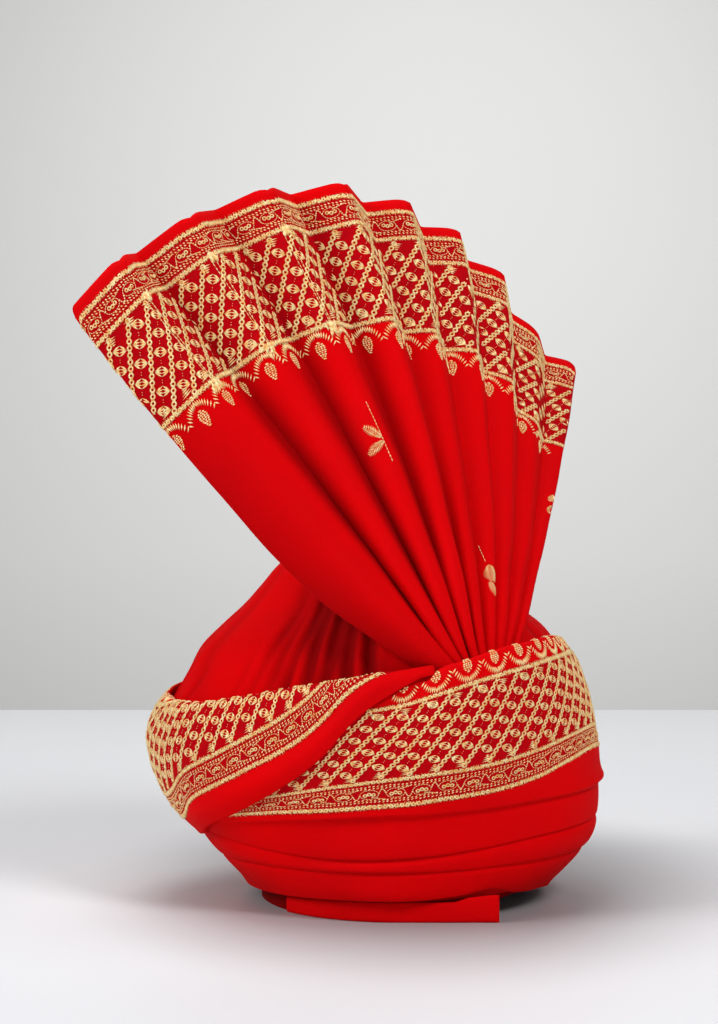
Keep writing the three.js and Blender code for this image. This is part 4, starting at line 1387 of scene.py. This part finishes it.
def crepe(name, ground=None, dark=1.0):
    # fine crepe: a soft tone, a woven grain and, on the border, the darker sewn ground; dark scales all
    # its colours down as painted shade for cloth that lies in shadow, and a point attribute adds painted
    # shade in folds and the painted shadow of the fan
    paint = Paint(name)
    s, w = paint.clothPlace()
    tone = paint.clamp(paint.noise(18, 3) * 2.2 - 0.6)
    colour = paint.blend(tone, rgb(cloth["deep"], cloth["deepShare"] * dark), rgb(cloth["red"], dark))
    if ground:
        sewn = w.between(ground[0], ground[1], cloth["sewnEdge"])
        worn = paint.clamp(paint.noise(260, 2) * 1.6 - 0.2)
        colour = paint.blend(sewn * (0.55 + 0.45 * worn), colour, rgb(cloth["ground"], dark))
    # painted shade: the point attribute darkens the colour toward a deep red in folds, creases and under the
    # fan
    hollow = paint.node("ShaderNodeAttribute", {"attribute_name": "hollow"}, {}, "Fac")
    colour = paint.blend(hollow * cloth["paintedShadeShare"], colour, rgb(cloth["hollow"], dark))
    paint.set(Base_Color=colour, Roughness=cloth["rough"] + cloth["roughMore"] * tone)
    paint.set(Sheen_Weight=0.12, Sheen_Roughness=0.5, Sheen_Tint=rgb(cloth["sheen"]), Specular_IOR_Level=0.03)
    turn = 2 * math.pi / cloth["weavePitch"]
    weave = (s * turn).sine() * (w * turn).sine()
    height = weave * cloth["weaveShare"] + paint.noise(900, 3)
    depth = {"Strength": 0.22, "Distance": cloth["weaveDepth"] * mm, "Height": height}
    paint.set(Normal=paint.node("ShaderNodeBump", {}, depth))
    return paint.material


def goldThread(name, shine):
    paint = Paint(name)
    # painted glints: a noise mixes the dark and bright gold in the base colour, as painted highlights and
    # painted shade on the thread, and makes the bright places smoother
    paintedGlint = paint.clamp(paint.noise(520, 2) * 3.4 - 1.15)
    paint.set(Base_Color=paint.blend(paintedGlint, rgb(gold["dark"]), rgb(gold["bright"])))
    paint.set(Metallic=shine, Roughness=gold["rough"] - gold["glintSmooth"] * paintedGlint)
    return paint.material


# The fan, the strip and what is sewn on them

def makeBand(material, strip):
    piece = clothFrom("borderCloth", strip["points"], strip["flat"], band["skin"], 0.0, weld=False)
    finishPiece(piece, material, "border_cloth", "border_wrap")


def makeFan(material, pleats):
    grid = (pleats["points"], pleats["flat"], fan["wall"], 0.0)
    piece = clothFrom("fanCloth", *grid, weld=False, hollow=pleats["hollow"])
    finishPiece(piece, material, "border_cloth", "fan")
    print("turban: fan rim", round(float(pleats["rims"][-1])), "mm")


sprayLeaves = table(
    "fold back down turn length width",
    (6, 1.0, 161, -127, 11, 4.4),
    (6, 1.0, 163, 151, 11, 4.4),
    (12, 2.6, 237, 82, 10, 6.5),
    (12, 2.4, 248, 66, 8, 3.6),
    (18, 1.0, 140, 110, 7, 3.4),
    (18, 0.8, 150, 100, 8, 3.4),
)
sprayStems = table(
    "fold back down toBack toDown",
    (6, 0.8, 138, 0.5, 176),
    (12, 8.0, 224, 4.5, 235),
)
spray = {"base": 0.8, "bare": 0.3, "taper": (0.45, 2.85), "lean": 55, "over": 1.5, "more": 0.6}
sprayThread = {"leaf": (0.62, 0.9), "stem": (2.2, 0.55, 0.6)}
seams = {
    "folds": (2, 4, 6),
    "inset": 0.8,
    "insetEnd": 0.4,
    "apart": (0.2, 3.4),
    "closing": 1.2,
    "shape": (2.6, 0.75, 0.9),
}
knot = {"stitches": 26, "inset": 0.5, "before": 1.2, "after": 0.7, "under": 0.6, "thread": (1.25, 1.6)}
knots = table("line below spread", ("line3", 1.5, 4.6), ("line2", 0.5, 2.6))


def sewSprays(seed, pleats):
    # the small leaf sprays on the plain cloth of the fan
    sewing = Sewing(seed)
    for leaf in sprayLeaves:
        angle = math.radians(leaf["turn"])
        count = int(leaf["length"])
        run = np.linspace(spray["base"], leaf["length"], count)
        wide = leaf["width"] / 2 * np.sin(np.linspace(*spray["taper"], count)) + spray["bare"]
        for side in (-1, 1):
            s = pleats["rims"][leaf["fold"]] - leaf["back"] + run * math.cos(angle)
            v = leaf["down"] + run * math.sin(angle)
            s = s - side * wide / 2 * math.sin(angle)
            v = v + side * wide / 2 * math.cos(angle)
            length = wide * spray["over"] + spray["more"]
            sewing.stitch(s, v, leaf["turn"] + side * spray["lean"], length, *sprayThread["leaf"])
    for stem in sprayStems:
        rim = pleats["rims"][stem["fold"]]
        s = rim - np.array([stem["back"], stem["toBack"]])
        sewing.path(s, np.array([stem["down"], stem["toDown"]], float), *sprayThread["stem"])
    return sewing


def sewPleatSeams(seed, pleats):
    # thin double seams down the first folds, each ending in a bunch of thread at the gold line
    sewing = Sewing(seed)
    draw = sewing.draw
    for fold in seams["folds"]:
        rim = pleats["rims"][fold]
        for apart in seams["apart"]:
            closed = apart * seams["closing"] / seams["apart"][-1]
            s = rim - np.array([apart + seams["inset"], seams["insetEnd"] + closed])
            sewing.path(s, np.array([places["fieldStart"], places["fieldEnd"]]), *seams["shape"])
        for row in knots:
            count, reach = knot["stitches"], row["spread"]
            s = rim - knot["inset"] + draw.uniform(-reach * knot["before"], reach * knot["after"], count)
            v = places[row["line"]] + row["below"] + draw.uniform(-reach * knot["under"], reach, count)
            sewing.stitch(s, v, draw.uniform(50, 130, count), draw.uniform(4, 7, count), *knot["thread"])
    return sewing


# The folded strip that shows under the front

flap = {
    "wall": 4,
    "length": 57,
    "start": 225,
    "lap": 0.5,
    "lift": 6,
    "liftFrom": 0.5,
    "liftTo": 0.9,
    "columns": 40,
    "corners": 28,
    "endRound": 1.6,
    "leastThick": 0.02,
    "sideCurve": 0.7,
    "levelCurve": 0.35,
    "ripple": 0.35,
}


def signedPower(value, power):
    return np.sign(value) * np.abs(value) ** power


def makeFlap(material):
    halfX = head["width"] / 2 + head["wall"] + lay["gap"] + flap["wall"] / 2
    halfY = head["length"] / 2 + head["wall"] + lay["gap"] + flap["wall"] / 2
    columns = flap["columns"]
    bent = np.radians(np.linspace(flap["start"], 270, columns))
    radius = quarterRadius(np.degrees(bent), halfX, halfX, halfY, halfY)
    curved = np.stack([radius * np.cos(bent), radius * np.sin(bent)], axis=1)
    straight = np.stack([np.linspace(1.5, flap["length"], columns), np.full(columns, -halfY)], axis=1)
    path = np.concatenate([curved, straight])
    steps = np.gradient(path, axis=0)
    steps /= np.linalg.norm(steps, axis=1, keepdims=True)
    outward = np.stack([steps[:, 1], -steps[:, 0]], axis=1)
    azimuth = np.degrees(np.arctan2(path[:, 1], path[:, 0])) % 360
    lift = smoothStep(path[:, 0], flap["length"] * flap["liftFrom"], flap["length"] * flap["liftTo"])
    under = wrapEdge(azimuth, "lower") - flap["lap"] - lay["gap"]
    top = np.minimum(under, cap["rim"] - lay["gap"] + flap["lift"] * lift)
    run = lengthsAlong(path)
    end = np.minimum(1, np.minimum(run, run[-1] - run) / flap["endRound"])
    thick = flap["wall"] / 2 * np.sqrt(np.maximum(flap["leastThick"], end * (2 - end)))
    turn = np.linspace(0, 2 * math.pi, flap["corners"] + 1)[:, None]
    side = signedPower(np.cos(turn), flap["sideCurve"])
    level = 0.5 + 0.5 * signedPower(np.sin(turn), flap["levelCurve"])
    wave = flap["ripple"] * waves(run[None, :], level * 10, 34, 14, 21)
    across = side * thick[None, :] + wave * np.maximum(0, side)
    points = np.empty((len(turn), len(path), 3))
    points[..., 0] = path[:, 0] + outward[:, 0] * across
    points[..., 1] = path[:, 1] + outward[:, 1] * across
    points[..., 2] = level * top[None, :]
    points[-1] = points[0]
    flat = spread(run[None, :], lengthsAlong(points[:, columns])[:, None])
    piece = clothFrom("flapCloth", points, flat, 0)
    onWholeMesh(piece, (bpy.ops.mesh.fill_holes, {"sides": 0}), faceOutward)
    finishPiece(piece, material, "red_cloth", "front_flap")


# Floor, backdrop and lights

studio = {
    "floor": (0.86, 0.87, 0.90),
    # floorFar is painted light: the floor is paler far off
    "floorFar": (0.93, 0.94, 0.96),
    "wall": (0.74, 0.74, 0.73),
    # wallTop is painted shade: the backdrop is darker towards its top
    "wallTop": (0.52, 0.52, 0.51),
    "farEdge": 0.987,
    "wallAway": 3.7,
    "size": 6.0,
    # the shadow values place a soft patch of painted shadow on the floor under the turban
    "shadowAcross": 0.23,
    "shadowAlong": 0.37,
    "shadowRight": 0.02,
    "shadowBack": 0.04,
    "shadowDepth": 0.62,
    "shadowSoft": 0.65,
    "shadowTone": 0.08,
    "farStart": 0.2,
    "farLength": 0.6,
    "topStart": -0.1,
    "topLength": 1.1,
    "air": (0.93, 0.94, 0.96),
    "airLight": 0.12,
}


def paperMaterial(name, roughness, shape):
    # pale paper whose colour changes softly with the place on the sheet, by the painted light and painted
    # shade that its shape gives
    paint = Paint(name)
    x, y = paint.sides(paint.place())
    paint.set(Base_Color=shape(paint, x, y), Roughness=roughness)
    return paint.material


def floorTone(paint, x, y):
    # painted light: a little paler far off; painted shadow: darker in a soft round patch under the turban
    y = y - (studio["size"] / 2 - studio["farEdge"])
    far = paint.clamp((y - studio["farStart"]) / studio["farLength"])
    across = (x - studio["shadowRight"]) / studio["shadowAcross"]
    along = (y - studio["shadowBack"]) / studio["shadowAlong"]
    away = paint.node("ShaderNodeMath", {"operation": "SQRT"}, {0: across * across + along * along})
    # the soft round patch of painted shadow
    near = paint.clamp((1 - away) / studio["shadowSoft"])
    near = near * near * (3 - near * 2)
    tone = paint.blend(far, rgb(studio["floor"]), rgb(studio["floorFar"]))
    return paint.blend(near * studio["shadowDepth"], tone, rgb(studio["floor"], studio["shadowTone"]))


def wallTone(paint, x, y):
    # painted shade: darker towards the top of the backdrop
    high = paint.clamp((y - studio["topStart"]) / studio["topLength"])
    return paint.blend(high, rgb(studio["wall"]), rgb(studio["wallTop"]))


def addStudio():
    bpy.ops.object.select_all(action="DESELECT")
    size = studio["size"]
    bpy.ops.mesh.primitive_plane_add(size=size, location=(0, studio["farEdge"] - size / 2, 0))
    floor = bpy.context.object
    floor.name = "floor"
    floor.data.materials.append(paperMaterial("palePaper", 0.55, floorTone))
    upright = (math.radians(90), 0, 0)
    place = (0, studio["farEdge"] + studio["wallAway"], 0)
    bpy.ops.mesh.primitive_plane_add(size=size, location=place, rotation=upright)
    wall = bpy.context.object
    wall.name = "backdrop"
    wall.data.materials.append(paperMaterial("paleWall", 0.9, wallTone))


lights = table(
    "name place aim size power",
    ("keySoftbox", (1.1, -1.3, 1.7), (0, 0, 0.22), 0.7, 25),
    ("fillSoftbox", (-1.5, -0.7, 1.1), (0, 0, 0.12), 0.8, 17),
    ("frontSoftbox", (0.3, -2.6, 0.45), (0, 0, 0.06), 0.7, 9),
    ("topSoftbox", (-0.2, 0.1, 1.9), (0, 0, 0.1), 0.8, 9),
    ("floorSoftbox", (0.1, 1.2, 1.5), (0.1, 1.0, 0), 0.9, 6),
    ("wallSoftbox", (0.15, 2.9, 1.3), (0.1, 4.7, 0.2), 1.5, 52),
)


def addLights():
    for row in lights:
        data = bpy.data.lights.new(row["name"], "AREA")
        data.size = row["size"]
        data.energy = row["power"]
        lamp = bpy.data.objects.new(row["name"], data)
        lamp.location = row["place"]
        way = Vector(row["aim"]) - Vector(row["place"])
        lamp.rotation_euler = way.to_track_quat("-Z", "Y").to_euler()
        bpy.context.collection.objects.link(lamp)
    world = bpy.data.worlds.new("paleRoom")
    world.use_nodes = True
    air = world.node_tree.nodes["Background"]
    air.inputs["Color"].default_value = rgb(studio["air"])
    air.inputs["Strength"].default_value = studio["airLight"]
    bpy.context.scene.world = world


threadWork = ("Lines", "Vine")


def main():
    addCamera()
    addStudio()
    addLights()
    redCloth = crepe("redCrepe")
    # the head ring lies in shadow under the wraps, so its crepe's colours are scaled to 0.3 as painted shade
    paintedShadeCloth = crepe("paintedShadeCrepe", dark=0.3)
    borderCloth = crepe("borderCrepe", ground=(border["hem"], places["scallop"]))
    zari = goldThread("zariThread", gold["thread"])
    sequin = goldThread("zariRings", gold["rings"])
    print("turban: materials ready")
    makeHeadRing(paintedShadeCloth)
    makeCap(redCloth)
    for wrap in wrapPieces:
        makeWrap(wrap, redCloth)
    strip = layBand()
    makeBand(borderCloth, strip)
    pleats = layFan()
    makeFan(borderCloth, pleats)
    makeFlap(redCloth)
    for name, sewing in sewBorder("fan", float(pleats["rims"][-1])).items():
        find = {"Lines": findSeamOnFan, "Chains": findChainOnFan}.get(name, findOnFan)
        sewOn("fan" + name, sewing, pleats, find, fan["wall"], zari if name in threadWork else sequin)
    sewOn("fanSprays", sewSprays(55, pleats), pleats, findOnFan, fan["wall"], zari)
    sewOn("fanSeams", sewPleatSeams(56, pleats), pleats, findSeamOnFan, fan["wall"], zari)
    for name, sewing in sewBorder("band", float(strip["along"][-1])).items():
        sewOn("band" + name, sewing, strip, findOnBand, band["skin"], zari if name in threadWork else sequin)
    bpy.context.scene.view_settings.view_transform = "Standard"


main()
